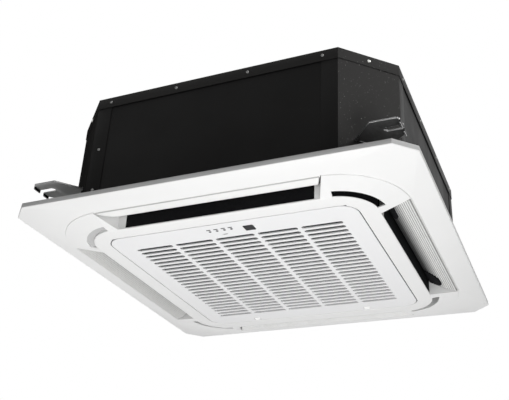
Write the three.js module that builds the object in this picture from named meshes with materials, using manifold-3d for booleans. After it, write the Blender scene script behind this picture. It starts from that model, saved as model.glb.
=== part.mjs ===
// Four-way ceiling cassette air conditioner: black sheet-metal body with a white panel below it.
// Millimetres, +Z up. Heights below are measured from the intake grille's face, the lowest plane.
// At the end the whole unit is lowered, so that the origin is its centre in the ceiling plane.
// "near" is -Y, "far" is +Y, "left" is -X and "right" is +X.
import * as THREE from 'three';
import { mergeVertices } from 'three/addons/utils/BufferGeometryUtils.js';
import Module from 'manifold-3d';

const wasm = await Module();
wasm.setup();

// ---- driving dimensions ----------------------------------------------------------------------

// panel, from its outer edge inwards
const PANEL_HALF = 475;
const PANEL_CHAMFER = 43;
const PANEL_EDGE_LOW = 26;
const PANEL_EDGE_TOP = 38;
const PANEL_SKIN = 3;
const RIM_HALF = 421;
const RIM_RADIUS = 158;
const RIM_Z = 14;
const TURRET_HALF = 350;
const TURRET_RADIUS = 87;
const TURRET_EDGE_Z = 1.5;
const CORNER_STEPS = 8;

// air outlets: a tapered slot on each side and a narrow arc in each corner
const SLOT_INNER = 350.5;
const SLOT_OUTER = 421.8;
const SLOT_HALF_INNER = 247;
const SLOT_HALF_OUTER = 273;
const DUCT_WALL = 3;
const DUCT_TOP = 38.5;
const DUCT_NECK = 400;
const ARC_SLOT_INNER = 88;
const ARC_SLOT_OUTER = 106;
const ARC_SLOT_MARGIN_DEG = 7;

// swing louvres, each turning on pins near its outer edge
const LOUVRE_PIVOT_X = 416;
const LOUVRE_PIVOT_Z = 19.5;
const LOUVRE_OUTER_X = 418;
const LOUVRE_OUTER_Z = 13.2;
const LOUVRE_INNER_X = 354.5;
const LOUVRE_INNER_Z = 35;
const LOUVRE_BULGE = 3;
const LOUVRE_THICKNESS = 2.6;
const LOUVRE_RIBS = 11;
const LOUVRE_RIB_HEIGHT = 0.9;
const LOUVRE_END_GAP = 3;
const LOUVRE_PIN_RADIUS = 1.5;
const LOUVRE_PIN_END = 279.4;

// intake grille, hung on two pins along its near edge
const DOOR_HALF = 308;
const DOOR_RADIUS = 40;
const DOOR_GAP = 2.4;
const DOOR_SKIN = 2.2;
const DOOR_RIM = 12;
const DOOR_FRAME_TOP = 24;
const GRILLE_ROWS = 24;
const GRILLE_COLUMNS = 5;
const GRILLE_PITCH = 20.8;
const GRILLE_FIRST_Y = -234;
const GRILLE_SLOT_WIDTH = 97;
const GRILLE_SLOT_HEIGHT = 10.4;
const GRILLE_BAR = 9.25;
const HINGE_Y = -305.2;
const HINGE_Z = 3.8;
const HINGE_PIN_RADIUS = 1.2;
const HINGE_X = 235;
const LATCH_X = 165;
const DISPLAY_X = 51.5;
const DISPLAY_Y = -270.5;
const BUTTON_X = -14;
const BUTTON_Y = -257;

// body
const BODY_HALF = 415;
const BODY_CHAMFER = 108;
const BODY_LOW = 42;
const BODY_TOP = 336;
const SHEET = 1.2;
const SKIRT = 28;
const FLANGE = 38;
const LINER = 15;
const HANGER_Z = 105;

// inside the body
const PAN_TOP = 76;
const COIL_OUTER = 330;
const COIL_INNER = 288;
const COIL_LOW = 62;
const COIL_TOP = 318;
const COIL_MOUTH = 62;
const COIL_FACE = 2;
const COIL_END_FROM = 346;
const COIL_END_TO = 406;
const FAN_RADIUS = 236;
const FAN_INLET_RADIUS = 186;
const FAN_BLADES = 7;
const MOTOR_RADIUS = 68;
const MOTOR_LOW = 245;
const MOTOR_TOP = 318;
const SHAFT_RADIUS = 7;
const BELL_THROAT = 178;
const PUMP = [-276, 276];
const FLOAT = [-312, 312];

// pipes, through the far left corner; aside runs along the cut face
const CORNER_FACE = (2 * BODY_HALF - BODY_CHAMFER) * Math.SQRT1_2;
const HEADER_DISTANCE = 474;
const GAS_PIPE = { aside: 18, z: 228, radius: 8, nut: 27 };
const LIQUID_PIPE = { aside: -12, z: 196, radius: 4.8, nut: 17 };
const DRAIN_PIPE = { aside: -46, z: 262, radius: 16 };

// control box, beside the bell mouth
const BOX_LOW = 22;
const BOX_HALF = 160;
const BOX_NEAR = 233;
const BOX_FAR = 302;

const GAP = 0.3;
const QUARTER = Math.PI / 2;
const SIDES = ['right', 'far', 'left', 'near'];
const CORNERS = ['far_right', 'far_left', 'near_left', 'near_right'];
const PIPE_CORNER = 'far_left';

// ---- materials -------------------------------------------------------------------------------

const finish = (color, roughness, metalness = 0) =>
  new THREE.MeshStandardMaterial({ color, roughness, metalness });

const WHITE_PLASTIC = finish(0xf1f1ef, 0.45);
const LOUVRE_PLASTIC = finish(0xe6e6e3, 0.5);
const DARK_PLASTIC = finish(0x24252a, 0.4);
const SMOKED_WINDOW = finish(0x14151a, 0.15);
const BLACK_SHEET = finish(0x1d1c1b, 0.6, 0.2);
const GREY_SHEET = finish(0x9da0a2, 0.4, 0.8);
const BLACK_FOAM = finish(0x1a1a1b, 0.95);
const FILTER_NET = finish(0x4f6475, 0.9);
const FIN_ALUMINIUM = finish(0xc2c6c9, 0.35, 0.9);
const COPPER = finish(0xb8734a, 0.3, 0.95);
const BRASS = finish(0xc9a455, 0.35, 0.9);
const BOARD = finish(0x2e6b45, 0.6);

// ---- solids ----------------------------------------------------------------------------------

function toSolid(geometry) {
  const bare = geometry.clone();
  bare.deleteAttribute('normal');
  bare.deleteAttribute('uv');
  const merged = mergeVertices(bare, 1e-4);
  const vertProperties = new Float32Array(merged.attributes.position.array);
  const triVerts = new Uint32Array(merged.index.array);
  return new wasm.Manifold(new wasm.Mesh({ numProp: 3, vertProperties, triVerts }));
}

function toGeometry(solid) {
  const { vertProperties, triVerts } = solid.getMesh();
  const geometry = new THREE.BufferGeometry();
  geometry.setAttribute('position', new THREE.BufferAttribute(new Float32Array(vertProperties), 3));
  geometry.setIndex(new THREE.BufferAttribute(new Uint32Array(triVerts), 1));
  return geometry;
}

const join = (...shapes) => toGeometry(shapes.map(toSolid).reduce((a, b) => a.add(b)));
const overlap = (a, b) => toGeometry(toSolid(a).intersect(toSolid(b)));

function cut(base, ...tools) {
  return toGeometry(tools.map(toSolid).reduce((solid, tool) => solid.subtract(tool), toSolid(base)));
}

function box(x0, x1, y0, y1, z0, z1) {
  const geometry = new THREE.BoxGeometry(x1 - x0, y1 - y0, z1 - z0);
  return geometry.translate((x0 + x1) / 2, (y0 + y1) / 2, (z0 + z1) / 2);
}

function shapeOf(points) {
  return new THREE.Shape(points.map(([x, y]) => new THREE.Vector2(x, y)));
}

// an upright prism over a plan outline
function prism(points, z0, z1) {
  const options = { depth: z1 - z0, bevelEnabled: false, steps: 1 };
  return new THREE.ExtrudeGeometry(shapeOf(points), options).translate(0, 0, z0);
}

// a bar with an (x, z) section, lying along Y
function barAlongY(section, y0, y1) {
  const options = { depth: y1 - y0, bevelEnabled: false, steps: 1 };
  return new THREE.ExtrudeGeometry(shapeOf(section), options).rotateX(QUARTER).translate(0, y1, 0);
}

function rod(radius, from, to, sides = 16) {
  const start = new THREE.Vector3(...from);
  const along = new THREE.Vector3(...to).sub(start);
  const geometry = new THREE.CylinderGeometry(radius, radius, along.length(), sides);
  const turn = new THREE.Quaternion().setFromUnitVectors(
    new THREE.Vector3(0, 1, 0), along.clone().normalize());
  return geometry.applyQuaternion(turn).translate(...start.addScaledVector(along, 0.5).toArray());
}

// a body of revolution about Z from a closed (radius, z) profile
function turned(profile, sides) {
  const points = profile.map(([r, z]) => new THREE.Vector2(r, z));
  points.push(points[0].clone());
  const area = points.slice(1).reduce((sum, p, i) => sum + points[i].x * p.y - p.x * points[i].y, 0);
  if (area < 0) points.reverse();
  return new THREE.LatheGeometry(points, sides).rotateX(QUARTER);
}

function washerAlongZ(inner, outer, z0, z1, sides) {
  return turned([[inner, z0], [outer, z0], [outer, z1], [inner, z1]], sides);
}

// plan outline of a square with round corners, anticlockwise
function roundSquare(half, radius, steps = CORNER_STEPS) {
  const centre = half - radius;
  const points = [];
  for (let corner = 0; corner < 4; corner++) {
    const cos = Math.round(Math.cos(corner * QUARTER));
    const sin = Math.round(Math.sin(corner * QUARTER));
    for (let step = 0; step <= steps; step++) {
      const angle = QUARTER * step / steps;
      const x = centre + radius * Math.cos(angle);
      const y = centre + radius * Math.sin(angle);
      points.push([cos * x - sin * y, sin * x + cos * y]);
    }
  }
  return points;
}

// the same number of points on a square with cut corners, so that it can be lofted to a round one
function cutSquare(half, leg, steps = CORNER_STEPS) {
  const points = [];
  for (let corner = 0; corner < 4; corner++) {
    const cos = Math.round(Math.cos(corner * QUARTER));
    const sin = Math.round(Math.sin(corner * QUARTER));
    for (let step = 0; step <= steps; step++) {
      const x = half - leg * step / steps;
      const y = half - leg + leg * step / steps;
      points.push([cos * x - sin * y, sin * x + cos * y]);
    }
  }
  return points;
}

// closed ring of plan outlines at their own heights: the section of a frame, swept round it
function frameLoft(rings) {
  const count = rings[0].outline.length;
  const positions = rings.flatMap(({ outline, z }) => outline.flatMap(([x, y]) => [x, y, z]));
  const index = [];
  rings.forEach((ring, r) => {
    const next = (r + 1) % rings.length;
    for (let i = 0; i < count; i++) {
      const j = (i + 1) % count;
      const a = r * count + i;
      const b = r * count + j;
      const c = next * count + j;
      const d = next * count + i;
      index.push(a, c, b, a, d, c);
    }
  });
  const geometry = new THREE.BufferGeometry();
  geometry.setAttribute('position', new THREE.Float32BufferAttribute(positions, 3));
  geometry.setIndex(index);
  return geometry;
}

const octagon = (half, leg) => cutSquare(half, leg, 1);
const quarterTurn = (geometry, side) => geometry.clone().rotateZ(side * QUARTER);

// inner or outer face of the octagonal body, a distance inside its outside
const bodyOctagon = (inset) =>
  octagon(BODY_HALF - inset, BODY_CHAMFER - inset * (2 - Math.SQRT2));

const unit = new THREE.Group();
unit.name = 'ceiling_cassette';
const hung = new THREE.Group();
hung.position.z = -PANEL_EDGE_TOP;
unit.add(hung);

function add(name, geometry, material, parent = hung) {
  const mesh = new THREE.Mesh(geometry, material);
  mesh.name = name;
  parent.add(mesh);
  return mesh;
}

// ---- panel -----------------------------------------------------------------------------------

const slotHalfAt = (x, margin = 0) => {
  const slope = (SLOT_HALF_OUTER - SLOT_HALF_INNER) / (SLOT_OUTER - SLOT_INNER);
  return SLOT_HALF_INNER + (x - SLOT_INNER) * slope + margin;
};

function slotPlan(x0, x1, margin) {
  const near = slotHalfAt(x0, margin);
  const wide = slotHalfAt(x1, margin);
  return [[x0, -near], [x1, -wide], [x1, wide], [x0, near]];
}

// the air's way through the panel on the right side
function slotVoid() {
  const section = [
    [SLOT_INNER, -5], [SLOT_OUTER, -5], [SLOT_OUTER, 24], [DUCT_NECK, DUCT_TOP - 1.5],
    [DUCT_NECK, DUCT_TOP + 5], [SLOT_INNER, DUCT_TOP + 5],
  ];
  const plan = slotPlan(SLOT_INNER - 1, SLOT_OUTER + 1, 0);
  return overlap(barAlongY(section, -300, 300), prism(plan, -10, 60));
}

// the walls that lead the air through the panel, still solid
function slotCollar() {
  const section = [
    [SLOT_INNER - DUCT_WALL, 2], [SLOT_OUTER + DUCT_WALL, 16], [SLOT_OUTER + DUCT_WALL, 26],
    [DUCT_NECK + DUCT_WALL, DUCT_TOP], [SLOT_INNER - DUCT_WALL, DUCT_TOP],
  ];
  const plan = slotPlan(SLOT_INNER - 10, SLOT_OUTER + 10, DUCT_WALL);
  return overlap(barAlongY(section, -300, 300), prism(plan, -10, 60));
}

function cornerArcSlot() {
  const centre = TURRET_HALF - TURRET_RADIUS;
  const margin = THREE.MathUtils.degToRad(ARC_SLOT_MARGIN_DEG);
  const arc = (radius, from, to) => {
    const points = [];
    for (let step = 0; step <= CORNER_STEPS; step++) {
      const angle = from + (to - from) * step / CORNER_STEPS;
      points.push([centre + radius * Math.cos(angle), centre + radius * Math.sin(angle)]);
    }
    return points;
  };
  const outer = arc(ARC_SLOT_OUTER, margin, QUARTER - margin);
  const inner = arc(ARC_SLOT_INNER, QUARTER - margin, margin);
  return prism([...outer, ...inner], -5, 40);
}

function panelSkin() {
  const opening = DOOR_HALF + DOOR_GAP;
  const openingRadius = DOOR_RADIUS + DOOR_GAP;
  const innerHalf = PANEL_HALF - PANEL_SKIN;
  const rings = [
    { outline: cutSquare(PANEL_HALF, PANEL_CHAMFER), z: PANEL_EDGE_LOW },
    { outline: roundSquare(RIM_HALF, RIM_RADIUS), z: RIM_Z },
    { outline: roundSquare(TURRET_HALF + 2, TURRET_RADIUS + 2), z: TURRET_EDGE_Z },
    { outline: roundSquare(TURRET_HALF - 3, TURRET_RADIUS - 3), z: 0 },
    { outline: roundSquare(opening, openingRadius), z: 0 },
    { outline: roundSquare(opening, openingRadius), z: DOOR_FRAME_TOP },
    { outline: roundSquare(opening + PANEL_SKIN, openingRadius + PANEL_SKIN), z: DOOR_FRAME_TOP },
    { outline: roundSquare(opening + PANEL_SKIN, openingRadius + PANEL_SKIN), z: PANEL_SKIN },
    { outline: roundSquare(TURRET_HALF - 4, TURRET_RADIUS - 4), z: PANEL_SKIN },
    { outline: roundSquare(TURRET_HALF + 1, TURRET_RADIUS + 1), z: TURRET_EDGE_Z + PANEL_SKIN },
    { outline: roundSquare(RIM_HALF, RIM_RADIUS), z: RIM_Z + PANEL_SKIN },
    { outline: cutSquare(innerHalf, PANEL_CHAMFER - 1.2), z: PANEL_EDGE_LOW + PANEL_SKIN },
    { outline: cutSquare(innerHalf, PANEL_CHAMFER - 1.2), z: PANEL_EDGE_TOP },
    { outline: cutSquare(PANEL_HALF, PANEL_CHAMFER), z: PANEL_EDGE_TOP },
  ];
  return frameLoft(rings);
}

// a hook that reaches over the grille's edge and holds its pin from above
function hingeLug(x) {
  const opening = DOOR_HALF + DOOR_GAP;
  const drop = box(x - 5, x + 5, HINGE_Y - 0.3, HINGE_Y + 4.4, HINGE_Z - 1, 20);
  const arm = box(x - 5, x + 5, -opening - 1, HINGE_Y + 4.4, 16, 20);
  const eye = rod(HINGE_PIN_RADIUS + 0.4, [x - 6, HINGE_Y, HINGE_Z], [x + 6, HINGE_Y, HINGE_Z]);
  return cut(join(drop, arm), eye);
}

// room for the grille's round corners as it swings down
function swingRelief(x) {
  return box(x - 7.5, x + 7.5, -309.6, -300, -1, 6);
}

function panelFrame() {
  const sides = SIDES.map((_, side) => side);
  const collars = sides.map((side) => quarterTurn(slotCollar(), side));
  const voids = sides.map((side) => quarterTurn(slotVoid(), side));
  const arcs = sides.map((side) => quarterTurn(cornerArcSlot(), side));
  const pinHole = rod(LOUVRE_PIN_RADIUS + 0.6, [LOUVRE_PIVOT_X, -283, LOUVRE_PIVOT_Z],
    [LOUVRE_PIVOT_X, 283, LOUVRE_PIVOT_Z]);
  const pinHoles = sides.map((side) => quarterTurn(pinHole, side));
  const lugs = [-HINGE_X, HINGE_X].map(hingeLug);
  const reliefs = [-283.5, 283.5].map(swingRelief);
  return cut(join(panelSkin(), ...collars, ...lugs), ...voids, ...arcs, ...pinHoles, ...reliefs);
}

// foam strip that closes the gap between the panel's edge and the ceiling
function ceilingSeal() {
  const outer = PANEL_HALF - PANEL_SKIN - 1;
  const rings = [
    { outline: cutSquare(outer, PANEL_CHAMFER - 1.6, 1), z: 30 },
    { outline: cutSquare(outer - 9, PANEL_CHAMFER - 5.2, 1), z: 30 },
    { outline: cutSquare(outer - 9, PANEL_CHAMFER - 5.2, 1), z: 37.6 },
    { outline: cutSquare(outer, PANEL_CHAMFER - 1.6, 1), z: 37.6 },
  ];
  return frameLoft(rings);
}

// ---- louvres ---------------------------------------------------------------------------------

// exterior face from the outer edge to the inner one: a shallow arc with ribs along the slot
function louvreSection() {
  const chordX = LOUVRE_INNER_X - LOUVRE_OUTER_X;
  const chordZ = LOUVRE_INNER_Z - LOUVRE_OUTER_Z;
  const chord = Math.hypot(chordX, chordZ);
  const normal = [chordZ / chord, -chordX / chord];
  const pointAt = (t, offset) => {
    const rise = offset - LOUVRE_BULGE * (1 - (2 * t - 1) ** 2);
    return [
      LOUVRE_OUTER_X + chordX * t + normal[0] * rise,
      LOUVRE_OUTER_Z + chordZ * t + normal[1] * rise,
    ];
  };
  const lower = [pointAt(0, 0)];
  for (let rib = 0; rib < LOUVRE_RIBS; rib++) {
    const start = 0.06 + 0.88 * rib / LOUVRE_RIBS;
    const width = 0.88 / LOUVRE_RIBS;
    lower.push(pointAt(start, 0));
    lower.push(pointAt(start + width * 0.3, -LOUVRE_RIB_HEIGHT));
    lower.push(pointAt(start + width * 0.6, 0));
  }
  lower.push(pointAt(1, 0));
  const upper = [1, 0.8, 0.6, 0.4, 0.2, 0].map((t) => pointAt(t, LOUVRE_THICKNESS));
  return [...lower, ...upper].reverse();
}

function louvre() {
  const plan = slotPlan(LOUVRE_INNER_X - 4, LOUVRE_OUTER_X + 3, -LOUVRE_END_GAP);
  const blade = overlap(barAlongY(louvreSection(), -290, 290), prism(plan, 0, 60));
  const bead = [
    [LOUVRE_PIVOT_X - 3.2, LOUVRE_PIVOT_Z - 5], [LOUVRE_PIVOT_X + 2.4, LOUVRE_PIVOT_Z - 5],
    [LOUVRE_PIVOT_X + 3.2, LOUVRE_PIVOT_Z], [LOUVRE_PIVOT_X, LOUVRE_PIVOT_Z + 3.2],
    [LOUVRE_PIVOT_X - 3.2, LOUVRE_PIVOT_Z],
  ];
  const beadHalf = slotHalfAt(LOUVRE_PIVOT_X, -LOUVRE_END_GAP - 1);
  const pin = rod(LOUVRE_PIN_RADIUS, [LOUVRE_PIVOT_X, -LOUVRE_PIN_END, LOUVRE_PIVOT_Z],
    [LOUVRE_PIVOT_X, LOUVRE_PIN_END, LOUVRE_PIVOT_Z], 12);
  return join(blade, barAlongY(bead, -beadHalf, beadHalf), pin);
}

// stepper motor beside the slot's end; its gear case reaches down to the louvre's pin
function louvreMotor() {
  const start = LOUVRE_PIN_END + 0.5;
  const x = LOUVRE_PIVOT_X - 16;
  const z = LOUVRE_PIVOT_Z + 8;
  const gearCase = box(x - 9, LOUVRE_PIVOT_X + 3, start, start + 5, LOUVRE_PIVOT_Z - 1, z + 6);
  const can = rod(9.5, [x, start + 4, z], [x, start + 18, z], 20);
  const plug = box(x - 16, x - 7, start + 6, start + 14, z - 5, z + 5);
  return join(gearCase, can, plug);
}

// ---- intake grille ---------------------------------------------------------------------------

function grilleSlots() {
  const slots = [];
  for (let column = 0; column < GRILLE_COLUMNS; column++) {
    const x = (column - (GRILLE_COLUMNS - 1) / 2) * (GRILLE_SLOT_WIDTH + GRILLE_BAR);
    for (let row = 0; row < GRILLE_ROWS; row++) {
      const y = GRILLE_FIRST_Y + row * GRILLE_PITCH;
      slots.push(box(x - GRILLE_SLOT_WIDTH / 2, x + GRILLE_SLOT_WIDTH / 2,
        y - GRILLE_SLOT_HEIGHT / 2, y + GRILLE_SLOT_HEIGHT / 2, -1, DOOR_SKIN + 1));
    }
  }
  return slots;
}

function hingeKnuckle(x) {
  return box(x - 4, x + 4, -DOOR_HALF + 0.5, HINGE_Y + 3.4, DOOR_SKIN - 0.5, HINGE_Z + 3.4);
}

function grilleDoor() {
  const wall = 2.2;
  const shell = cut(prism(roundSquare(DOOR_HALF, DOOR_RADIUS), 0, DOOR_RIM),
    prism(roundSquare(DOOR_HALF - wall, DOOR_RADIUS - wall), DOOR_SKIN, DOOR_RIM + 1));
  const knuckles = [-HINGE_X, HINGE_X].flatMap((x) => [x - 11, x + 11]).map(hingeKnuckle);
  const pinHoles = [-HINGE_X, HINGE_X].map((x) =>
    rod(HINGE_PIN_RADIUS + GAP, [x - 16, HINGE_Y, HINGE_Z], [x + 16, HINGE_Y, HINGE_Z]));
  const lugNotches = [-HINGE_X, HINGE_X].map((x) =>
    box(x - 6.5, x + 6.5, -DOOR_HALF - 1, HINGE_Y + 6, DOOR_SKIN + 0.2, DOOR_RIM + 1));
  const latchHoles = [-LATCH_X, LATCH_X].map((x) =>
    box(x - 9.5, x + 9.5, 287, 303.5, -1, DOOR_SKIN + 1));
  const tongueNotches = [-LATCH_X, LATCH_X].map((x) =>
    box(x - 8.5, x + 8.5, 300, DOOR_HALF + 1, DOOR_SKIN + 0.4, DOOR_RIM + 1));
  const windowHole = box(DISPLAY_X - 12, DISPLAY_X + 12, DISPLAY_Y - 11, DISPLAY_Y + 11, -1, 4);
  const buttonHole = box(BUTTON_X - 8.5, BUTTON_X + 8.5, BUTTON_Y - 3, BUTTON_Y + 3, -1, 4);
  return cut(join(shell, ...knuckles), ...pinHoles, ...lugNotches, ...latchHoles,
    ...tongueNotches, windowHole, buttonHole, ...grilleSlots());
}

function hingePin(x) {
  return rod(HINGE_PIN_RADIUS, [x - 15, HINGE_Y, HINGE_Z], [x + 15, HINGE_Y, HINGE_Z], 12);
}

function latch(x) {
  const knob = box(x - 8.6, x + 8.6, 294.5, 303.1, 0.2, DOOR_SKIN + 0.6);
  const slide = box(x - 13, x + 13, 281, 299.4, DOOR_SKIN + GAP, 6.4);
  const tongue = box(x - 7.8, x + 7.8, 296, DOOR_HALF + 1.4, 4, 6.4);
  return join(knob, slide, tongue);
}

function displayWindow() {
  const plate = prism(roundSquare(11.6, 2.5, 3), 0.15, DOOR_SKIN + 0.3);
  return plate.scale(1, 10.6 / 11.6, 1).translate(DISPLAY_X, DISPLAY_Y, 0);
}

function displayBoard() {
  const board = box(-62, 74, -287, -247, 5.2, 6.8);
  const digits = box(DISPLAY_X - 10, DISPLAY_X + 10, DISPLAY_Y - 9, DISPLAY_Y + 9, 3, 6);
  const socket = box(-58, -40, -262, -252, 6, 11.5);
  return join(board, digits, socket);
}

function pushButton() {
  const cap = box(BUTTON_X - 8.1, BUTTON_X + 8.1, BUTTON_Y - 2.6, BUTTON_Y + 2.6, 0.1, 3.4);
  const stem = box(BUTTON_X - 10, BUTTON_X + 10, BUTTON_Y - 4.4, BUTTON_Y + 4.4, 2.6, 3.6);
  return join(cap, stem);
}

function airFilter() {
  const half = 284;
  const bars = 4;
  const low = DOOR_RIM + 1;
  const net = box(-half, half, -half, half, low + 1.2, low + 2);
  const rails = [];
  for (let bar = 0; bar <= bars; bar++) {
    const at = -half + 3 + (2 * half - 6) * bar / bars;
    rails.push(box(at - 3, at + 3, -half, half, low, low + 4));
    rails.push(box(-half, half, at - 3, at + 3, low, low + 4));
  }
  return join(net, ...rails);
}

// ---- body shell ------------------------------------------------------------------------------

// right wall: a plate with a flange turned in along its bottom, which carries the drain pan
function casingWall() {
  const outer = BODY_HALF - SHEET - GAP;
  const section = [
    [outer - 14, BODY_LOW - 3], [outer, BODY_LOW - 3], [outer, BODY_TOP - SHEET - GAP],
    [outer - SHEET, BODY_TOP - SHEET - GAP], [outer - SHEET, BODY_LOW - 3 + SHEET],
    [outer - 14, BODY_LOW - 3 + SHEET],
  ];
  const half = BODY_HALF - BODY_CHAMFER - 2;
  return barAlongY(section, -half, half);
}

// far right corner: the cut corner and a screwed flange over each of its two walls
function casingCorner() {
  const h = BODY_HALF;
  const v = BODY_HALF - BODY_CHAMFER;
  const inset = SHEET * (Math.SQRT2 - 1);
  const plan = [
    [h, v - FLANGE], [h, v], [v, h], [v - FLANGE, h], [v - FLANGE, h - SHEET],
    [v - inset, h - SHEET], [h - SHEET, v - inset], [h - SHEET, v - FLANGE],
  ];
  return prism(plan, BODY_LOW - 3, BODY_TOP - SHEET - GAP);
}

function topCover() {
  const out = SHEET + GAP;
  const lid = prism(bodyOctagon(-out), BODY_TOP - SKIRT, BODY_TOP);
  return cut(lid, prism(bodyOctagon(-GAP), BODY_TOP - SKIRT - 1, BODY_TOP - SHEET));
}

function insulationLiner() {
  const top = BODY_TOP - SHEET - 1;
  const outside = SHEET * 2 + GAP * 2;
  const block = prism(bodyOctagon(outside), PAN_TOP + GAP, top);
  return cut(block, prism(bodyOctagon(outside + LINER), PAN_TOP - 1, top + 1));
}

// fork that a threaded rod slides into, bolted to a corner; drawn for the far right corner
function hanger() {
  const out = 10;
  const face = 2 * BODY_HALF - BODY_CHAMFER;
  const tip = 442;
  const rootHalf = 27;
  const mid = face / 2 + 0.3;
  const plan = [
    [mid - rootHalf, mid + rootHalf], [mid + rootHalf, mid - rootHalf], [tip - 6, 375],
    [tip, 381], [tip, 400], [tip - 34, 400], [tip - 40, 406], [tip - 40, 408], [tip - 34, 414],
    [tip, 414], [tip, 436], [tip - 6, 442], [380, 442],
  ];
  const plate = prism(plan.reverse(), HANGER_Z, HANGER_Z + 3);
  const tab = box(0, 3, -rootHalf, rootHalf, -34, out).rotateZ(QUARTER / 2);
  const lips = [box(tip - 3, tip, 381, 400, HANGER_Z - 8, HANGER_Z + 1),
    box(tip - 3, tip, 414, 436, HANGER_Z - 8, HANGER_Z + 1)];
  return join(plate, tab.translate(mid, mid, HANGER_Z), ...lips);
}

function hangerAt(corner) {
  const shape = hanger();
  if (corner === 0) return shape;
  if (corner === 2) return shape.rotateZ(2 * QUARTER);
  const mirror = new THREE.Matrix4().makeScale(corner === 1 ? -1 : 1, corner === 1 ? 1 : -1, 1);
  const flipped = shape.applyMatrix4(mirror);
  const index = flipped.index.array;
  for (let i = 0; i < index.length; i += 3) [index[i], index[i + 1]] = [index[i + 1], index[i]];
  return flipped;
}

// ---- air path --------------------------------------------------------------------------------

function drainPan() {
  const outside = SHEET * 2 + GAP * 2;
  const block = prism(bodyOctagon(outside), BODY_LOW, PAN_TOP);
  const outlet = box(TURRET_HALF, DUCT_NECK - 2, -256, 256, BODY_LOW - 1, PAN_TOP + 1);
  const outlets = SIDES.map((_, side) => quarterTurn(outlet, side));
  const throat = rod(207, [0, 0, BODY_LOW - 1], [0, 0, PAN_TOP + 1], 48);
  const trough = cut(prism(roundSquare(COIL_OUTER + 8, 98), COIL_LOW - 4, PAN_TOP + 1),
    prism(roundSquare(COIL_INNER - 8, 40), COIL_LOW - 5, PAN_TOP + 2));
  return cut(block, ...outlets, throat, trough);
}

function bellMouth() {
  const low = BODY_LOW - 3;
  const profile = [
    [228, low], [228, low + 2.4], [206, low + 2.4], [194, low + 12],
    [BELL_THROAT + 4, low + 36], [BELL_THROAT + 3, low + 54],
    [BELL_THROAT, low + 54], [BELL_THROAT + 1, low + 35], [191.5, low + 10], [204, low],
  ];
  return turned(profile, 40);
}

function fanWheel() {
  const hub = turned([
    [SHAFT_RADIUS + GAP, 192], [24, 192], [24, 210], [82, 229], [108, 259], [FAN_RADIUS, 262],
    [FAN_RADIUS, 265], [106, 262], [80, 232], [22, 214], [22, 218], [SHAFT_RADIUS + GAP, 218],
  ], 35);
  const shroud = turned([
    [FAN_INLET_RADIUS, 86], [FAN_INLET_RADIUS + 3, 86], [FAN_INLET_RADIUS + 3, 98],
    [206, 113], [FAN_RADIUS, 124], [FAN_RADIUS, 127], [204, 116], [FAN_INLET_RADIUS, 100],
  ], 35);
  const below = turned([
    [FAN_INLET_RADIUS + 1.5, 60], [260, 60], [260, 125.5], [FAN_RADIUS, 125.5], [205, 114.5],
    [FAN_INLET_RADIUS + 1.5, 99],
  ], 35);
  const blade = cut(fanBlade(), below);
  const blades = [];
  for (let n = 0; n < FAN_BLADES; n++) blades.push(blade.clone().rotateZ(2 * Math.PI * n / FAN_BLADES));
  return join(hub, shroud, ...blades);
}

// one backward-curved blade, standing between the hub plate and the shroud
function fanBlade() {
  const steps = 5;
  const thickness = 3;
  const inner = 132;
  const sweep = THREE.MathUtils.degToRad(46);
  const side = (offset) => {
    const points = [];
    for (let step = 0; step <= steps; step++) {
      const t = step / steps;
      const radius = inner + (FAN_RADIUS - 2 - inner) * t + offset;
      const angle = -sweep * t ** 0.8;
      points.push([radius * Math.cos(angle), radius * Math.sin(angle)]);
    }
    return points;
  };
  const plan = [...side(-thickness / 2), ...side(thickness / 2).reverse()];
  return prism(plan, 104, 263.5);
}

// upright block that bends round the fan and stops each side of its mouth
function coilBlock(inset, low, top) {
  const outer = prism(roundSquare(COIL_OUTER - inset, 90 - inset, 6), low, top);
  const inner = prism(roundSquare(COIL_INNER + inset, 48 + inset, 6), low - 1, top + 1);
  const mouth = COIL_MOUTH + inset;
  return cut(outer, inner, box(300, 480, -mouth, mouth, low - 1, top + 1).rotateZ(1.5 * QUARTER));
}

// the coil's faces; the fins and tubes between them are left out
const evaporatorCoil = () =>
  cut(coilBlock(0, COIL_LOW, COIL_TOP), coilBlock(COIL_FACE, COIL_LOW - 2, COIL_TOP + 2));

// sheet that closes one end of the coil, beside its mouth in the far left corner
function coilEndPlate(aside) {
  const plate = box(COIL_END_FROM, COIL_END_TO, aside, aside + SHEET, COIL_LOW + 4, COIL_TOP - 2);
  return plate.rotateZ(1.5 * QUARTER);
}

// ---- refrigerant and drain pipes, in the far left corner -------------------------------------

// a rod that runs out through the corner
function cornerRod({ aside, z }, radius, from, to, sides = 16) {
  const at = (distance) =>
    [(-distance - aside) * Math.SQRT1_2, (distance - aside) * Math.SQRT1_2, z];
  return rod(radius, at(from), at(to), sides);
}

function pipeHoles() {
  return [GAS_PIPE, LIQUID_PIPE].map((pipe) =>
    cornerRod(pipe, pipe.radius + 2, HEADER_DISTANCE - 20, CORNER_FACE + 10));
}

function pipeWithHeader(pipe, z0, z1) {
  const x = (-HEADER_DISTANCE - pipe.aside) * Math.SQRT1_2;
  const y = (HEADER_DISTANCE - pipe.aside) * Math.SQRT1_2;
  const header = rod(pipe.radius, [x, y, z0], [x, y, z1]);
  return join(header, cornerRod(pipe, pipe.radius * 0.92, HEADER_DISTANCE, CORNER_FACE + 44));
}

function flareNut(pipe) {
  const nut = cornerRod(pipe, pipe.nut / Math.sqrt(3), CORNER_FACE + 24, CORNER_FACE + 43.7, 6);
  return cut(nut, cornerRod(pipe, pipe.radius * 0.92 + GAP, CORNER_FACE + 20, CORNER_FACE + 50));
}

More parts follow.
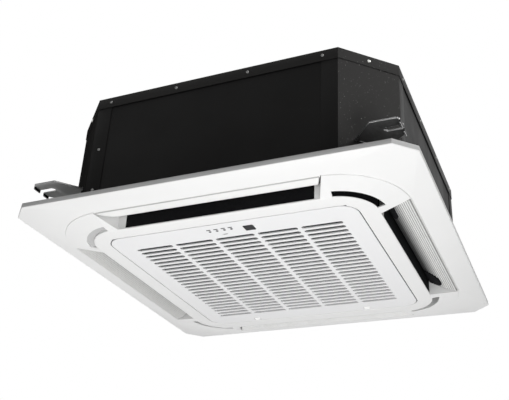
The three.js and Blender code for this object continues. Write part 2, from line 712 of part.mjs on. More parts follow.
function drainOutlet() {
  const outer = cornerRod(DRAIN_PIPE, DRAIN_PIPE.radius, CORNER_FACE + 0.5, CORNER_FACE + 46);
  const collar = cornerRod(DRAIN_PIPE, DRAIN_PIPE.radius + 5, CORNER_FACE + 0.5, CORNER_FACE + 4);
  const bore = cornerRod(DRAIN_PIPE, DRAIN_PIPE.radius - 3, CORNER_FACE + 8, CORNER_FACE + 50);
  return cut(join(outer, collar), bore);
}

// ---- drain pump and level float --------------------------------------------------------------

function drainPump() {
  const [x, y] = PUMP;
  const motor = rod(19, [x, y, 150], [x, y, 196], 24);
  const volute = rod(24, [x, y, 84], [x, y, 112], 24);
  const column = rod(8, [x, y, 108], [x, y, 152], 16);
  const chamber = rod(20, [x, y, 80], [x, y, 109], 24);
  const bore = rod(3.4, [x, y, 105], [x, y, 140], 12);
  return cut(join(motor, volute, column), chamber, bore);
}

function pumpImpeller() {
  const [x, y] = PUMP;
  const disc = rod(16, [x, y, 98], [x, y, 100.5], 24);
  const vanes = [0, 1].map((n) => box(-15, 15, -1, 1, -10, 1).rotateZ(n * QUARTER).translate(x, y, 98));
  const shaft = rod(2.5, [x, y, 99], [x, y, 136], 12);
  return join(disc, ...vanes, shaft);
}

function floatStem() {
  const [x, y] = FLOAT;
  const stem = rod(2.5, [x, y, 80], [x, y, 128], 12);
  const foot = rod(5, [x, y, 77], [x, y, 80.5], 12);
  const head = box(x - 9, x + 9, y - 6, y + 6, 126, 140);
  return join(stem, foot, head);
}

const levelFloat = () => washerAlongZ(3.2, 11, 81, 99, 20).translate(...FLOAT, 0);

// ---- motor -----------------------------------------------------------------------------------

function fanMotor() {
  const can = rod(MOTOR_RADIUS, [0, 0, MOTOR_LOW + 8], [0, 0, MOTOR_TOP], 36);
  const nose = rod(26, [0, 0, MOTOR_LOW], [0, 0, MOTOR_LOW + 10], 24);
  const bore = rod(SHAFT_RADIUS + 0.4, [0, 0, MOTOR_LOW - 1], [0, 0, MOTOR_TOP - 12], 24);
  return cut(join(can, nose), bore);
}

const motorShaft = () => rod(SHAFT_RADIUS, [0, 0, 178], [0, 0, MOTOR_TOP - 14], 24);

function fanNut() {
  const nut = rod(13, [0, 0, 182], [0, 0, 191.7], 6);
  return cut(nut, rod(SHAFT_RADIUS + GAP, [0, 0, 180], [0, 0, 194], 24));
}

// bridge from which the motor hangs below the top cover
function motorBracket() {
  const low = MOTOR_TOP + GAP;
  const plate = rod(84, [0, 0, low], [0, 0, low + 2], 24);
  const strap = box(-112, 112, -16, 16, low, low + 2);
  const post = box(96, 112, -16, 16, low, BODY_TOP - SHEET - GAP);
  const arms = [0, 1].map((n) => strap.clone().rotateZ(n * QUARTER));
  const posts = SIDES.map((_, side) => quarterTurn(post, side));
  return join(plate, ...arms, ...posts);
}

// ---- control box, beside the bell mouth ------------------------------------------------------

function controlBox() {
  const top = BODY_LOW - GAP;
  const shell = box(-BOX_HALF, BOX_HALF, BOX_NEAR, BOX_FAR, BOX_LOW + 2, top);
  return cut(shell, box(-BOX_HALF + 1.2, BOX_HALF - 1.2, BOX_NEAR + 1.2, BOX_FAR - 1.2, 0, top - 1.2));
}

const controlCover = () => box(-BOX_HALF - 1, BOX_HALF + 1, BOX_NEAR, BOX_FAR, BOX_LOW, BOX_LOW + 1.7);

function controlBoard() {
  const board = box(-120, 60, BOX_NEAR + 6, BOX_FAR - 6, 36, 37.6);
  const parts = [[-104, 16, 9], [-70, 22, 7], [-30, 12, 10], [0, 20, 8], [34, 14, 6]];
  const blocks = parts.map(([x, size, tall]) =>
    box(x, x + size, BOX_NEAR + 14, BOX_NEAR + 14 + size, 36.4 - tall, 36.4));
  return join(board, ...blocks);
}

function terminalBlock() {
  const base = box(78, 150, BOX_NEAR + 16, BOX_NEAR + 42, 28, 40);
  const cells = [];
  for (let cell = 0; cell < 5; cell++) {
    const x = 82 + cell * 13.4;
    cells.push(box(x, x + 10, BOX_NEAR + 12, BOX_NEAR + 28, 25, 30));
  }
  return cut(base, ...cells);
}

// ---- assembly --------------------------------------------------------------------------------

add('panel_frame', panelFrame(), WHITE_PLASTIC);
add('ceiling_seal', ceilingSeal(), BLACK_FOAM);

const louvreShape = louvre();
const louvreMotorShape = louvreMotor();
SIDES.forEach((name, side) => {
  const turnedGroup = new THREE.Group();
  turnedGroup.rotation.z = side * QUARTER;
  add(`louvre_${name}`, louvreShape, LOUVRE_PLASTIC, turnedGroup);
  add(`louvre_motor_${name}`, louvreMotorShape, GREY_SHEET, turnedGroup);
  hung.add(turnedGroup);
});

add('grille_door', grilleDoor(), WHITE_PLASTIC);
add('hinge_pin_left', hingePin(-HINGE_X), GREY_SHEET);
add('hinge_pin_right', hingePin(HINGE_X), GREY_SHEET);
add('latch_left', latch(-LATCH_X), WHITE_PLASTIC);
add('latch_right', latch(LATCH_X), WHITE_PLASTIC);
add('display_window', displayWindow(), SMOKED_WINDOW);
add('display_board', displayBoard(), BOARD);
add('push_button', pushButton(), WHITE_PLASTIC);
add('air_filter', airFilter(), FILTER_NET);

add('top_cover', topCover(), BLACK_SHEET);
SIDES.forEach((name, side) => add(`casing_wall_${name}`, quarterTurn(casingWall(), side), BLACK_SHEET));
CORNERS.forEach((name, side) => {
  const corner = quarterTurn(casingCorner(), side);
  const sheet = name === PIPE_CORNER ? cut(corner, ...pipeHoles()) : corner;
  add(`casing_corner_${name}`, sheet, BLACK_SHEET);
  add(`hanger_${name}`, hangerAt(side), GREY_SHEET);
});
add('insulation_liner', cut(insulationLiner(), ...pipeHoles()), BLACK_FOAM);
add('drain_pan', drainPan(), BLACK_FOAM);
add('bell_mouth', bellMouth(), DARK_PLASTIC);
add('fan_wheel', fanWheel(), LOUVRE_PLASTIC);
add('fan_nut', fanNut(), BRASS);
add('motor_shaft', motorShaft(), GREY_SHEET);
add('fan_motor', fanMotor(), GREY_SHEET);
add('motor_bracket', motorBracket(), GREY_SHEET);
add('evaporator_coil', evaporatorCoil(), FIN_ALUMINIUM);
add('coil_end_plate_left', coilEndPlate(COIL_MOUTH - GAP - SHEET), GREY_SHEET);
add('coil_end_plate_far', coilEndPlate(GAP - COIL_MOUTH), GREY_SHEET);
add('gas_pipe', pipeWithHeader(GAS_PIPE, 96, 300), COPPER);
add('liquid_pipe', pipeWithHeader(LIQUID_PIPE, 104, 280), COPPER);
add('gas_flare_nut', flareNut(GAS_PIPE), BRASS);
add('liquid_flare_nut', flareNut(LIQUID_PIPE), BRASS);
add('drain_outlet', drainOutlet(), WHITE_PLASTIC);
add('drain_pump', drainPump(), DARK_PLASTIC);
add('pump_impeller', pumpImpeller(), WHITE_PLASTIC);
add('float_stem', floatStem(), DARK_PLASTIC);
add('level_float', levelFloat(), WHITE_PLASTIC);
add('control_box', controlBox(), GREY_SHEET);
add('control_box_cover', controlCover(), GREY_SHEET);
add('control_board', controlBoard(), BOARD);
add('terminal_block', terminalBlock(), DARK_PLASTIC);

export default unit;
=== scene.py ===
# Looks for a ceiling cassette air conditioner, seen from below.
# Sizes are in millimetres and heights start at the intake grille's face; at() turns them into
# the frame's metres, whose origin is the panel's centre in the ceiling plane.
import math

import bmesh
import bpy
from mathutils import Euler, Matrix, Vector


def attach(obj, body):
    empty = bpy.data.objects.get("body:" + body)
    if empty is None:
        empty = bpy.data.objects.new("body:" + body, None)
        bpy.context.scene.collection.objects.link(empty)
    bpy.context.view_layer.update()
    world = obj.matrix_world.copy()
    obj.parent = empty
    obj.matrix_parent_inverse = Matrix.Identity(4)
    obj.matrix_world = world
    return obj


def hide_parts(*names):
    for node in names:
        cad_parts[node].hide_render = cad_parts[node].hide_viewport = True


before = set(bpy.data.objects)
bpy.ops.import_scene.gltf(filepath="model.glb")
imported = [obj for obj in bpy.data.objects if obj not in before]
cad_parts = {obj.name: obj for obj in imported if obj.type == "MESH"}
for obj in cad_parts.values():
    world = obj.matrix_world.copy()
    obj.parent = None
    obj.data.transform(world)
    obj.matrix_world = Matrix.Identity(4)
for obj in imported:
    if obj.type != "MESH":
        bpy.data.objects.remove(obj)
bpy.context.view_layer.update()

CEILING = 38.0
SIDES = ("right", "far", "left", "near")
CORNERS = ("far_right", "far_left", "near_left", "near_right")

# panel, outlets and the foam on their inner walls
PANEL_HALF, PANEL_CHAMFER = 475.0, 43.0
RIM_HALF, RIM_RADIUS, RIM_Z = 421.0, 158.0, 14.0
TURRET_HALF, TURRET_RADIUS = 350.0, 87.0
DOOR_HALF, DOOR_RADIUS, DOOR_GAP = 308.0, 40.0, 2.4
SLOT_INNER, SLOT_OUTER = 350.5, 421.8
SLOT_HALF_INNER, SLOT_HALF_OUTER = 247.0, 273.0
LINING_ENDS = (-226.0, 234.0)
DUCT_TOP, DUCT_NECK, DUCT_WALL = 38.5, 400.0, 3.0

# right louvre, at rest as the photograph shows it
BLADE_OUTER, BLADE_INNER = (418.0, 13.2), (354.5, 35.0)
BLADE_BULGE, BLADE_THICKNESS = 3.0, 2.6
BLADE_PIVOT = (416.0, 19.5)
RIB_COUNT = 12

# how much light is left on the right and left blades at some metres from the panel's middle
SHADE_START, SHADE_END = 0.35, 0.42
RIGHT_SHADE = ((0.3545, 0.01), (0.364, 0.04), (0.378, 0.45), (0.393, 1.0))
LEFT_SHADE = ((0.354, 0.35), (0.362, 0.6), (0.375, 0.88), (0.41, 1.0))

# grille
GRILLE_ROWS, GRILLE_COLUMNS = 24, 5
GRILLE_PITCH, GRILLE_FIRST = 20.8, -234.0
SLAT_SLOT, SLAT_OPENING, GRILLE_BAR = 97.0, 11.8, 9.25
HINGE_X, LATCH_X, RELIEF_X = 235.0, 165.0, 283.5

# the window's and the button's holes as (x0, x1, y0, y1), and the marks beside them
WINDOW_HOLE = (38.8, 64.4, -283.6, -257.8)
BUTTON_HOLE = (-22.5, -5.5, -260.0, -254.0)
ICON_PLACES, LIGHT_Y, LIGHT_RADIUS = (-44.0, -26.0, -7.5, 10.0), -277.5, 3.4

# body and fan
BODY_HALF, BODY_CHAMFER = 415.0, 108.0
COVER_SCREW_Z, COVER_SCREW_PLACES = 322.0, (-272.0, -92.0, 92.0, 272.0)
WALL_SCREW_Y, WALL_SCREW_HEIGHTS = -288.0, (80.0, 190.0)
FAN_BLADES = 7

# camera, fitted to the photograph: pixels, millimetres and radians
PHOTO_WIDTH, PHOTO_HEIGHT, PHOTO_FOCUS = 509, 400, 798.515
PHOTO_CENTRE = (251.622, 200.280)
EYE = (728.8, -1747.2, -791.7)
YAW, PITCH, ROLL = -0.429, 0.488, 0.055

# floor in metres, edges that stay sharp in degrees, and steps in each corner of an outline
FLOOR_HALF, FLOOR_Z = 9.0, -2.3
SHARP_ANGLE = 35
CORNER_STEPS = 24


def at(x, y, z):
    """A point of this script in the frame's metres."""
    return Vector((x, y, z - CEILING)) / 1000


# ---- finishes --------------------------------------------------------------------------------

def finish(name, colour, roughness, metallic=0.0, **sockets):
    """A material with its plain values on the shader's own sockets."""
    material = bpy.data.materials.new(name)
    material.use_nodes = True
    shader = material.node_tree.nodes["Principled BSDF"]
    shader.inputs["Base Color"].default_value = (*colour, 1)
    shader.inputs["Roughness"].default_value = roughness
    shader.inputs["Metallic"].default_value = metallic
    for socket, value in sockets.items():
        shader.inputs[socket.replace("_", " ")].default_value = value
    material.diffuse_color = (*colour, 1)
    return material


def object_place(material, stretch=(1, 1, 1)):
    """Object coordinates, stretched for a pattern."""
    nodes, links = material.node_tree.nodes, material.node_tree.links
    place = nodes.new("ShaderNodeTexCoord")
    mapping = nodes.new("ShaderNodeMapping")
    mapping.inputs["Scale"].default_value = stretch
    links.new(place.outputs["Object"], mapping.inputs["Vector"])
    return mapping.outputs["Vector"]


def texture(material, kind, scale, stretch=(1, 1, 1)):
    node = material.node_tree.nodes.new("ShaderNodeTex" + kind)
    node.inputs["Scale"].default_value = scale
    material.node_tree.links.new(object_place(material, stretch), node.inputs["Vector"])
    return node


def noise(material, scale, detail=2.0, stretch=(1, 1, 1)):
    node = texture(material, "Noise", scale, stretch)
    node.inputs["Detail"].default_value = detail
    return node.outputs["Fac"]


def ramp(material, value, stops):
    """A colour or grey that follows a value through (position, colour) stops."""
    nodes, links = material.node_tree.nodes, material.node_tree.links
    node = nodes.new("ShaderNodeValToRGB")
    elements = node.color_ramp.elements
    while len(elements) < len(stops):
        elements.new(0.5)
    for element, (position, colour) in zip(elements, stops):
        element.position = position
        element.color = (*colour, 1) if len(colour) == 3 else colour
    links.new(value, node.inputs["Fac"])
    return node.outputs["Color"]


def shade(material, socket, value):
    shader = material.node_tree.nodes["Principled BSDF"]
    material.node_tree.links.new(value, shader.inputs[socket])


def grey(level):
    return (level, level, level)


def uneven_gloss(material, value, start, end, least, most):
    """Roughness that goes from one level to another as a value passes from start to end."""
    shade(material, "Roughness", ramp(material, value, [(start, grey(least)), (end, grey(most))]))


def bump(material, height, strength, distance):
    """Adds one relief to the shader's normal, on top of any that is there."""
    nodes, links = material.node_tree.nodes, material.node_tree.links
    shader = nodes["Principled BSDF"]
    node = nodes.new("ShaderNodeBump")
    node.inputs["Strength"].default_value = strength
    node.inputs["Distance"].default_value = distance
    links.new(height, node.inputs["Height"])
    if shader.inputs["Normal"].is_linked:
        links.new(shader.inputs["Normal"].links[0].from_socket, node.inputs["Normal"])
    links.new(node.outputs["Normal"], shader.inputs["Normal"])


def moulded(name, colour, roughness, spread=0.02, grain=0.05):
    """Moulded plastic: a fine grain, with colour and gloss that wander a little."""
    material = finish(name, colour, roughness)
    low = tuple(max(0, c - spread) for c in colour)
    shade(material, "Base Color", ramp(material, noise(material, 7, 3), [(0.35, low), (0.65, colour)]))
    uneven_gloss(material, noise(material, 30, 3), 0.3, 0.7, roughness - 0.05, roughness + 0.05)
    bump(material, noise(material, 2200, 1), grain, 0.0004)
    return material


def painted(name, colour, fleck, roughness, gloss_level=0.08):
    """Painted sheet steel: orange peel, dust flecks and rubbed patches."""
    material = finish(name, colour, roughness, Specular_IOR_Level=gloss_level)
    flecks = ramp(material, noise(material, 420, 4), [(0.69, colour), (0.76, fleck)])
    shade(material, "Base Color", flecks)
    uneven_gloss(material, noise(material, 9, 5), 0.3, 0.7, roughness - 0.07, roughness + 0.1)
    bump(material, noise(material, 900, 2), 0.1, 0.0006)
    return material


def galvanised(name, colour, roughness):
    """Zinc-coated steel with its faint spangle."""
    material = finish(name, colour, roughness, 0.85)
    separate = material.node_tree.nodes.new("ShaderNodeSeparateColor")
    spangle = texture(material, "Voronoi", 110)
    material.node_tree.links.new(spangle.outputs["Color"], separate.inputs["Color"])
    value = separate.outputs["Red"]
    low = tuple(c * 0.8 for c in colour)
    shade(material, "Base Color", ramp(material, value, [(0.0, low), (1.0, colour)]))
    uneven_gloss(material, value, 0, 1, roughness - 0.08, roughness + 0.1)
    bump(material, noise(material, 700, 2), 0.06, 0.0004)
    return material


def brushed(name, colour, roughness, stretch):
    """Bare metal with fine drawn lines along one direction."""
    material = finish(name, colour, roughness, 1.0)
    low = tuple(c * 0.86 for c in colour)
    lines = noise(material, 60, 4, stretch)
    shade(material, "Base Color", ramp(material, lines, [(0.3, low), (0.7, colour)]))
    uneven_gloss(material, lines, 0.3, 0.7, roughness - 0.08, roughness + 0.1)
    bump(material, lines, 0.05, 0.0003)
    return material


def foamed(name, colour):
    """Closed-cell foam with its pitted skin."""
    material = finish(name, colour, 0.9, Specular_IOR_Level=0.08)
    pits = noise(material, 520, 5)
    low = tuple(c * 0.5 for c in colour)
    shade(material, "Base Color", ramp(material, pits, [(0.35, low), (0.6, colour)]))
    bump(material, pits, 0.35, 0.0012)
    return material


def netting(name, colour):
    """Filter net: fine threads both ways over darkness."""
    material = finish(name, colour, 0.85)
    most = material.node_tree.nodes.new("ShaderNodeMath")
    most.operation = "MAXIMUM"
    for number, direction in enumerate("XY"):
        wave = texture(material, "Wave", 150)
        wave.bands_direction = direction
        material.node_tree.links.new(wave.outputs["Fac"], most.inputs[number])
    shade(material, "Base Color", ramp(material, most.outputs[0], [(0.6, grey(0.004)), (0.95, colour)]))
    bump(material, most.outputs[0], 0.4, 0.0005)
    return material


def board(name, colour):
    """Printed circuit board: solder mask with faint tracks."""
    material = finish(name, colour, 0.35)
    tracks = texture(material, "Brick", 160)
    tracks.inputs["Color1"].default_value = (*colour, 1)
    tracks.inputs["Color2"].default_value = (*(c * 0.8 for c in colour), 1)
    tracks.inputs["Mortar"].default_value = (*(min(1, c * 1.7) for c in colour), 1)
    tracks.inputs["Mortar Size"].default_value = 0.03
    shade(material, "Base Color", tracks.outputs["Color"])
    bump(material, tracks.outputs["Fac"], 0.1, 0.0002)
    return material


PANEL_WHITE = moulded("panel_white", (0.83, 0.83, 0.825), 0.36, 0.012, 0.03)
# a darker copy of the panel's white for its upright outer edge: painted shade
PANEL_EDGE_SHADE = moulded("panel_edge", (0.5, 0.5, 0.498), 0.55, 0.05, 0.1)
GRILLE_WHITE = moulded("grille_white", (0.83, 0.83, 0.835), 0.38, 0.012, 0.03)
LATCH_WHITE = moulded("latch_white", (0.97, 0.97, 0.96), 0.2, 0.01, 0.02)
RIB_WHITE = moulded("rib_white", (0.83, 0.83, 0.82), 0.36, 0.012, 0.03)
# the blade's surface between the ribs in grey: painted shade in the grooves
BLADE_GROOVE_SHADE = moulded("blade_grey", (0.5, 0.5, 0.495), 0.4, 0.02, 0.03)


def darker_inside(material, way, stops):
    """Paints shade on the right (1) or left (-1) blade towards its inner edge: a darker colour standing in
    for the shade of the black lining.
    """
    nodes, links = material.node_tree.nodes, material.node_tree.links
    place = nodes.new("ShaderNodeSeparateXYZ")
    links.new(object_place(material), place.inputs[0])
    share = nodes.new("ShaderNodeMapRange")
    share.inputs["From Min"].default_value = SHADE_START * way
    share.inputs["From Max"].default_value = SHADE_END * way
    links.new(place.outputs["X"], share.inputs["Value"])
    span = SHADE_END - SHADE_START
    # painted shade: the colour is multiplied down towards the blade's inner edge
    inner_edge_shade = ramp(material, share.outputs[0], [((r - SHADE_START) / span, grey(v)) for r, v in stops])
    mix = nodes.new("ShaderNodeMix")
    mix.data_type = "RGBA"
    mix.blend_type = "MULTIPLY"
    mix.inputs["Factor"].default_value = 1.0
    shader = nodes["Principled BSDF"]
    links.new(shader.inputs["Base Color"].links[0].from_socket, mix.inputs[6])
    links.new(inner_edge_shade, mix.inputs[7])
    links.new(mix.outputs[2], shader.inputs["Base Color"])


# the right blade's ribs and blade, and the left blade, get painted shade towards their inner edges
SHADED_RIB = moulded("shaded_rib", (0.78, 0.78, 0.77), 0.36, 0.012, 0.03)
SHADED_BLADE = moulded("shaded_blade", (0.26, 0.26, 0.255), 0.4, 0.02, 0.03)
# the left louvre in a grey copy of the blade white: painted shade for the slot that faces away from the light
LEFT_BLADE_SHADE = moulded("left_blade", (0.6, 0.6, 0.59), 0.4, 0.02, 0.03)
darker_inside(SHADED_RIB, 1, RIGHT_SHADE)
darker_inside(SHADED_BLADE, 1, RIGHT_SHADE)
darker_inside(LEFT_BLADE_SHADE, -1, LEFT_SHADE)
# grey for the near left corner's blank: painted shade
BLANK_SHADE = moulded("blank_grey", (0.5, 0.5, 0.5), 0.5, 0.02)
FAN_GREY = moulded("fan_grey", (0.5, 0.5, 0.49), 0.5, 0.03)
FITTING_WHITE = moulded("fitting_white", (0.72, 0.72, 0.7), 0.5, 0.03)
DARK_PLASTIC = moulded("dark_plastic", (0.018, 0.018, 0.02), 0.42, 0.006)
DUCT_BLACK = foamed("duct_black", (0.008, 0.008, 0.009))
MARK_GREY = finish("mark_grey", (0.012, 0.012, 0.013), 0.6, Specular_IOR_Level=0.1)
WINDOW_DARK = finish("window_dark", (0.012, 0.012, 0.014), 0.12, Specular_IOR_Level=0.22, Coat_Weight=0.15,
                     Coat_Roughness=0.05)
bump(WINDOW_DARK, noise(WINDOW_DARK, 60, 2), 0.02, 0.0003)
BLACK_SHEET = painted("black_sheet", (0.007, 0.0068, 0.0067), (0.03, 0.029, 0.028), 0.5)
# the cover's paint lighter than the walls': painted light on the skirt, which is nearer the lamps
COVER_SHEET_LIT = painted("cover_sheet", (0.02, 0.0195, 0.019), (0.05, 0.049, 0.048), 0.5)
# the cut corners' paint: dust flecks, and a lighter base that is painted light
DUST_AND_LIGHT_SHEET = painted("dusty_sheet", (0.062, 0.061, 0.06), (0.6, 0.59, 0.58), 0.6, 0.0)
GREY_SHEET = galvanised("grey_sheet", (0.42, 0.43, 0.44), 0.42)
# one hanger steel in copies: lighter for the left hangers (painted light), darker for the right ones and for
# upright faces (painted shade)
HANGER_LIT = painted("hanger_steel", (0.6, 0.6, 0.6), (0.75, 0.75, 0.75), 0.4, 0.3)
HANGER_SHADED = painted("hanger_worn", (0.07, 0.07, 0.07), (0.4, 0.4, 0.4), 0.35, 0.3)
HANGER_UPRIGHT_SHADE = painted("hanger_dark", (0.02, 0.02, 0.02), (0.2, 0.2, 0.2), 0.45)
MOTOR_CASE = galvanised("motor_case", (0.5, 0.51, 0.52), 0.38)
BLACK_FOAM = foamed("black_foam", (0.02, 0.02, 0.021))
FILTER_NET = netting("filter_net", (0.02, 0.024, 0.028))
FIN_METAL = brushed("fin_metal", (0.72, 0.74, 0.76), 0.32, (1, 1, 60))
# bare steel for the rods and pins, and the painted highlights on the hangers' rounded edges
ROD_STEEL_AND_HIGHLIGHT = brushed("rod_steel", (0.6, 0.6, 0.6), 0.28, (1, 1, 30))
COPPER = brushed("copper", (0.72, 0.38, 0.22), 0.3, (6, 6, 1))
BRASS = brushed("brass", (0.74, 0.56, 0.25), 0.3, (4, 4, 1))
SCREW_ZINC = brushed("screw_zinc", (0.62, 0.62, 0.6), 0.3, (5, 5, 5))
SCREW_DULL = brushed("screw_dull", (0.22, 0.22, 0.216), 0.35, (5, 5, 5))
BOARD_GREEN = board("board_green", (0.03, 0.16, 0.08))


# ---- making pieces ---------------------------------------------------------------------------

def link(obj):
    bpy.context.scene.collection.objects.link(obj)
    return obj


def piece(name, points, faces, material):
    """A mesh piece from points in millimetres."""
    mesh = bpy.data.meshes.new(name)
    mesh.from_pydata([at(*p) for p in points], [], faces)
    return shell(name, mesh, material)


def smooth_up_to(mesh, angle):
    mesh.shade_smooth()
    mesh.set_sharp_from_angle(angle=math.radians(angle))


def shell(name, mesh, material):
    """A piece around a mesh that is already in place, with its faces outwards."""
    work = bmesh.new()
    work.from_mesh(mesh)
    bmesh.ops.remove_doubles(work, verts=work.verts, dist=1e-6)
    bmesh.ops.recalc_face_normals(work, faces=work.faces)
    work.to_mesh(mesh)
    work.free()
    mesh.materials.clear()
    mesh.materials.append(material)
    smooth_up_to(mesh, 30)
    return link(bpy.data.objects.new(name, mesh))


def rounded(obj, width, angle=SHARP_ANGLE):
    """Rounds the piece's edges, by a width in millimetres."""
    modifier = obj.modifiers.new("rounded", "BEVEL")
    modifier.width = width / 1000
    modifier.segments = 2
    modifier.limit_method = "ANGLE"
    modifier.angle_limit = math.radians(angle)
    modifier.harden_normals = False
    return obj


def settled(obj):
    """Turns the modifiers into plain mesh."""
    graph = bpy.context.evaluated_depsgraph_get()
    mesh = bpy.data.meshes.new_from_object(obj.evaluated_get(graph))
    obj.modifiers.clear()
    obj.data = mesh
    smooth_up_to(mesh, SHARP_ANGLE)
    return obj


def together(name, pieces):
    """One piece from several, each keeping its own finish."""
    for p in pieces:
        if p.modifiers:
            settled(p)
    work = bmesh.new()
    materials = []
    for p in pieces:
        start = len(work.faces)
        work.from_mesh(p.data)
        work.faces.ensure_lookup_table()
        for face in work.faces[start:]:
            material = p.data.materials[face.material_index]
            if material not in materials:
                materials.append(material)
            face.material_index = materials.index(material)
    mesh = bpy.data.meshes.new(name)
    work.to_mesh(mesh)
    work.free()
    for material in materials:
        mesh.materials.append(material)
    for p in pieces:
        bpy.data.objects.remove(p)
    return link(bpy.data.objects.new(name, mesh))


def turned(obj, side):
    """Turns a piece of the right side (0) to another side."""
    obj.data.transform(Matrix.Rotation(side * math.pi / 2, 4, "Z"))
    return obj


def turned_copy(obj, side):
    return turned(link(bpy.data.objects.new(obj.name, obj.data.copy())), side)


def carved(obj, *steps):
    """Adds and takes away other pieces, in turn."""
    for operation, tool in steps:
        modifier = obj.modifiers.new(operation, "BOOLEAN")
        modifier.operation = operation
        modifier.solver = "EXACT"
        modifier.object = tool
        settled(obj)
        bpy.data.objects.remove(tool)
    return obj


def loft(rings):
    """Points and faces of a closed ring of closed outlines with as many points."""
    count = len(rings[0])
    points = [p for ring in rings for p in ring]
    faces = []
    for r in range(len(rings)):
        following = (r + 1) % len(rings)
        for i in range(count):
            j = (i + 1) % count
            faces.append((r * count + i, r * count + j, following * count + j, following * count + i))
    return points, faces


def corner_run(corner_point):
    """An outline of four equal corners; the corner point goes round the first one as t goes from 0 to 1."""
    points = []
    for cos, sin in ((1, 0), (0, 1), (-1, 0), (0, -1)):
        for step in range(CORNER_STEPS + 1):
            x, y = corner_point(step / CORNER_STEPS)
            points.append((cos * x - sin * y, sin * x + cos * y))
    return points


def round_square(half, radius):
    centre = half - radius
    return corner_run(lambda t: (
        centre + radius * math.cos(t * math.pi / 2), centre + radius * math.sin(t * math.pi / 2)))


def cut_square(half, leg):
    return corner_run(lambda t: (half - leg * t, half - leg + leg * t))


def circle(radius, steps, x=0.0, y=0.0):
    angles = [2 * math.pi * step / steps for step in range(steps)]
    return [(x + radius * math.cos(angle), y + radius * math.sin(angle)) for angle in angles]


def at_height(outline, z):
    return [(x, y, z) for x, y in outline]


def between(first, second):
    """Points and faces of a closed body between two outlines with as many points."""
    count = len(first)
    faces = [tuple(range(count))[::-1], tuple(range(count, 2 * count))]
    faces += [(i, (i + 1) % count, count + (i + 1) % count, count + i) for i in range(count)]
    return first + second, faces


def prism(outline, low, high):
    """Points and faces of an upright block over an outline."""
    return between(at_height(outline, low), at_height(outline, high))


def block(x0, x1, y0, y1, z0, z1):
    return prism([(x0, y0), (x1, y0), (x1, y1), (x0, y1)], z0, z1)


def slot_half(x, margin):
    """Half the right slot's length at a distance from the panel's middle."""
    slope = (SLOT_HALF_OUTER - SLOT_HALF_INNER) / (SLOT_OUTER - SLOT_INNER)
    return SLOT_HALF_INNER + (x - SLOT_INNER) * slope + margin


def slot_bar(section, margin):
    """A bar across the right slot whose ends follow the slot's slanted ends."""
    return between(*([(x, sign * slot_half(x, margin), z) for x, z in section] for sign in (1, -1)))


def prism_along(section, start, end):
    """A bar along Y over a section in X and Z."""
    return between(*([(x, y, z) for x, z in section] for y in (end, start)))


def lathe(profile, segments=96):
    """A body of revolution about the vertical axis from a closed (radius, z) profile."""
    return loft([[(r * x, r * y, z) for r, z in profile] for x, y in circle(1, segments)])


# ---- repeated pieces -------------------------------------------------------------------------

def node_tree(name, inputs):
    """An empty geometry tree with its named inputs, each a label, a kind of socket and a first value."""
    tree = bpy.data.node_groups.new(name, "GeometryNodeTree")
    tree.interface.new_socket("Geometry", in_out="INPUT", socket_type="NodeSocketGeometry")
    for label, kind, value in inputs:
        socket = tree.interface.new_socket(label, in_out="INPUT", socket_type="NodeSocket" + kind)
        if value is not None:
            socket.default_value = value
    tree.interface.new_socket("Geometry", in_out="OUTPUT", socket_type="NodeSocketGeometry")
    return tree, tree.nodes.new("NodeGroupInput"), tree.nodes.new("NodeGroupOutput")


def wired(tree, *pairs):
    for start, end in pairs:
        tree.links.new(start, end)


def close_tree(tree, given, out, instances):
    """Ends a tree with its copies made real and their finish put on."""
    realize = tree.nodes.new("GeometryNodeRealizeInstances")
    dress = tree.nodes.new("GeometryNodeSetMaterial")
    wired(tree, (instances, realize.inputs["Geometry"]),
          (realize.outputs["Geometry"], dress.inputs["Geometry"]),
          (given.outputs["Finish"], dress.inputs["Material"]),
          (dress.outputs["Geometry"], out.inputs["Geometry"]))
    return tree


def ring_tree():
    """Copies of a piece in a ring, each turned about the vertical axis by its number."""
    tree, given, out = node_tree("ring_of_copies", [
        ("Count", "Int", 2), ("Turn", "Float", 0.0), ("Copy", "Object", None), ("Finish", "Material", None)])
    line = tree.nodes.new("GeometryNodeMeshLine")
    line.inputs["Offset"].default_value = (0, 0, 0)
    source = tree.nodes.new("GeometryNodeObjectInfo")
    number = tree.nodes.new("GeometryNodeInputIndex")
    angle = tree.nodes.new("ShaderNodeMath")
    angle.operation = "MULTIPLY"
    axis = tree.nodes.new("ShaderNodeCombineXYZ")
    spin = tree.nodes.new("FunctionNodeEulerToRotation")
    place = tree.nodes.new("GeometryNodeInstanceOnPoints")
    wired(tree, (given.outputs["Count"], line.inputs["Count"]),
          (given.outputs["Copy"], source.inputs["Object"]),
          (number.outputs[0], angle.inputs[0]), (given.outputs["Turn"], angle.inputs[1]),
          (angle.outputs[0], axis.inputs["Z"]), (axis.outputs[0], spin.inputs[0]),
          (line.outputs["Mesh"], place.inputs["Points"]),
          (source.outputs["Geometry"], place.inputs["Instance"]),
          (spin.outputs[0], place.inputs["Rotation"]))
    return close_tree(tree, given, out, place.outputs["Instances"])


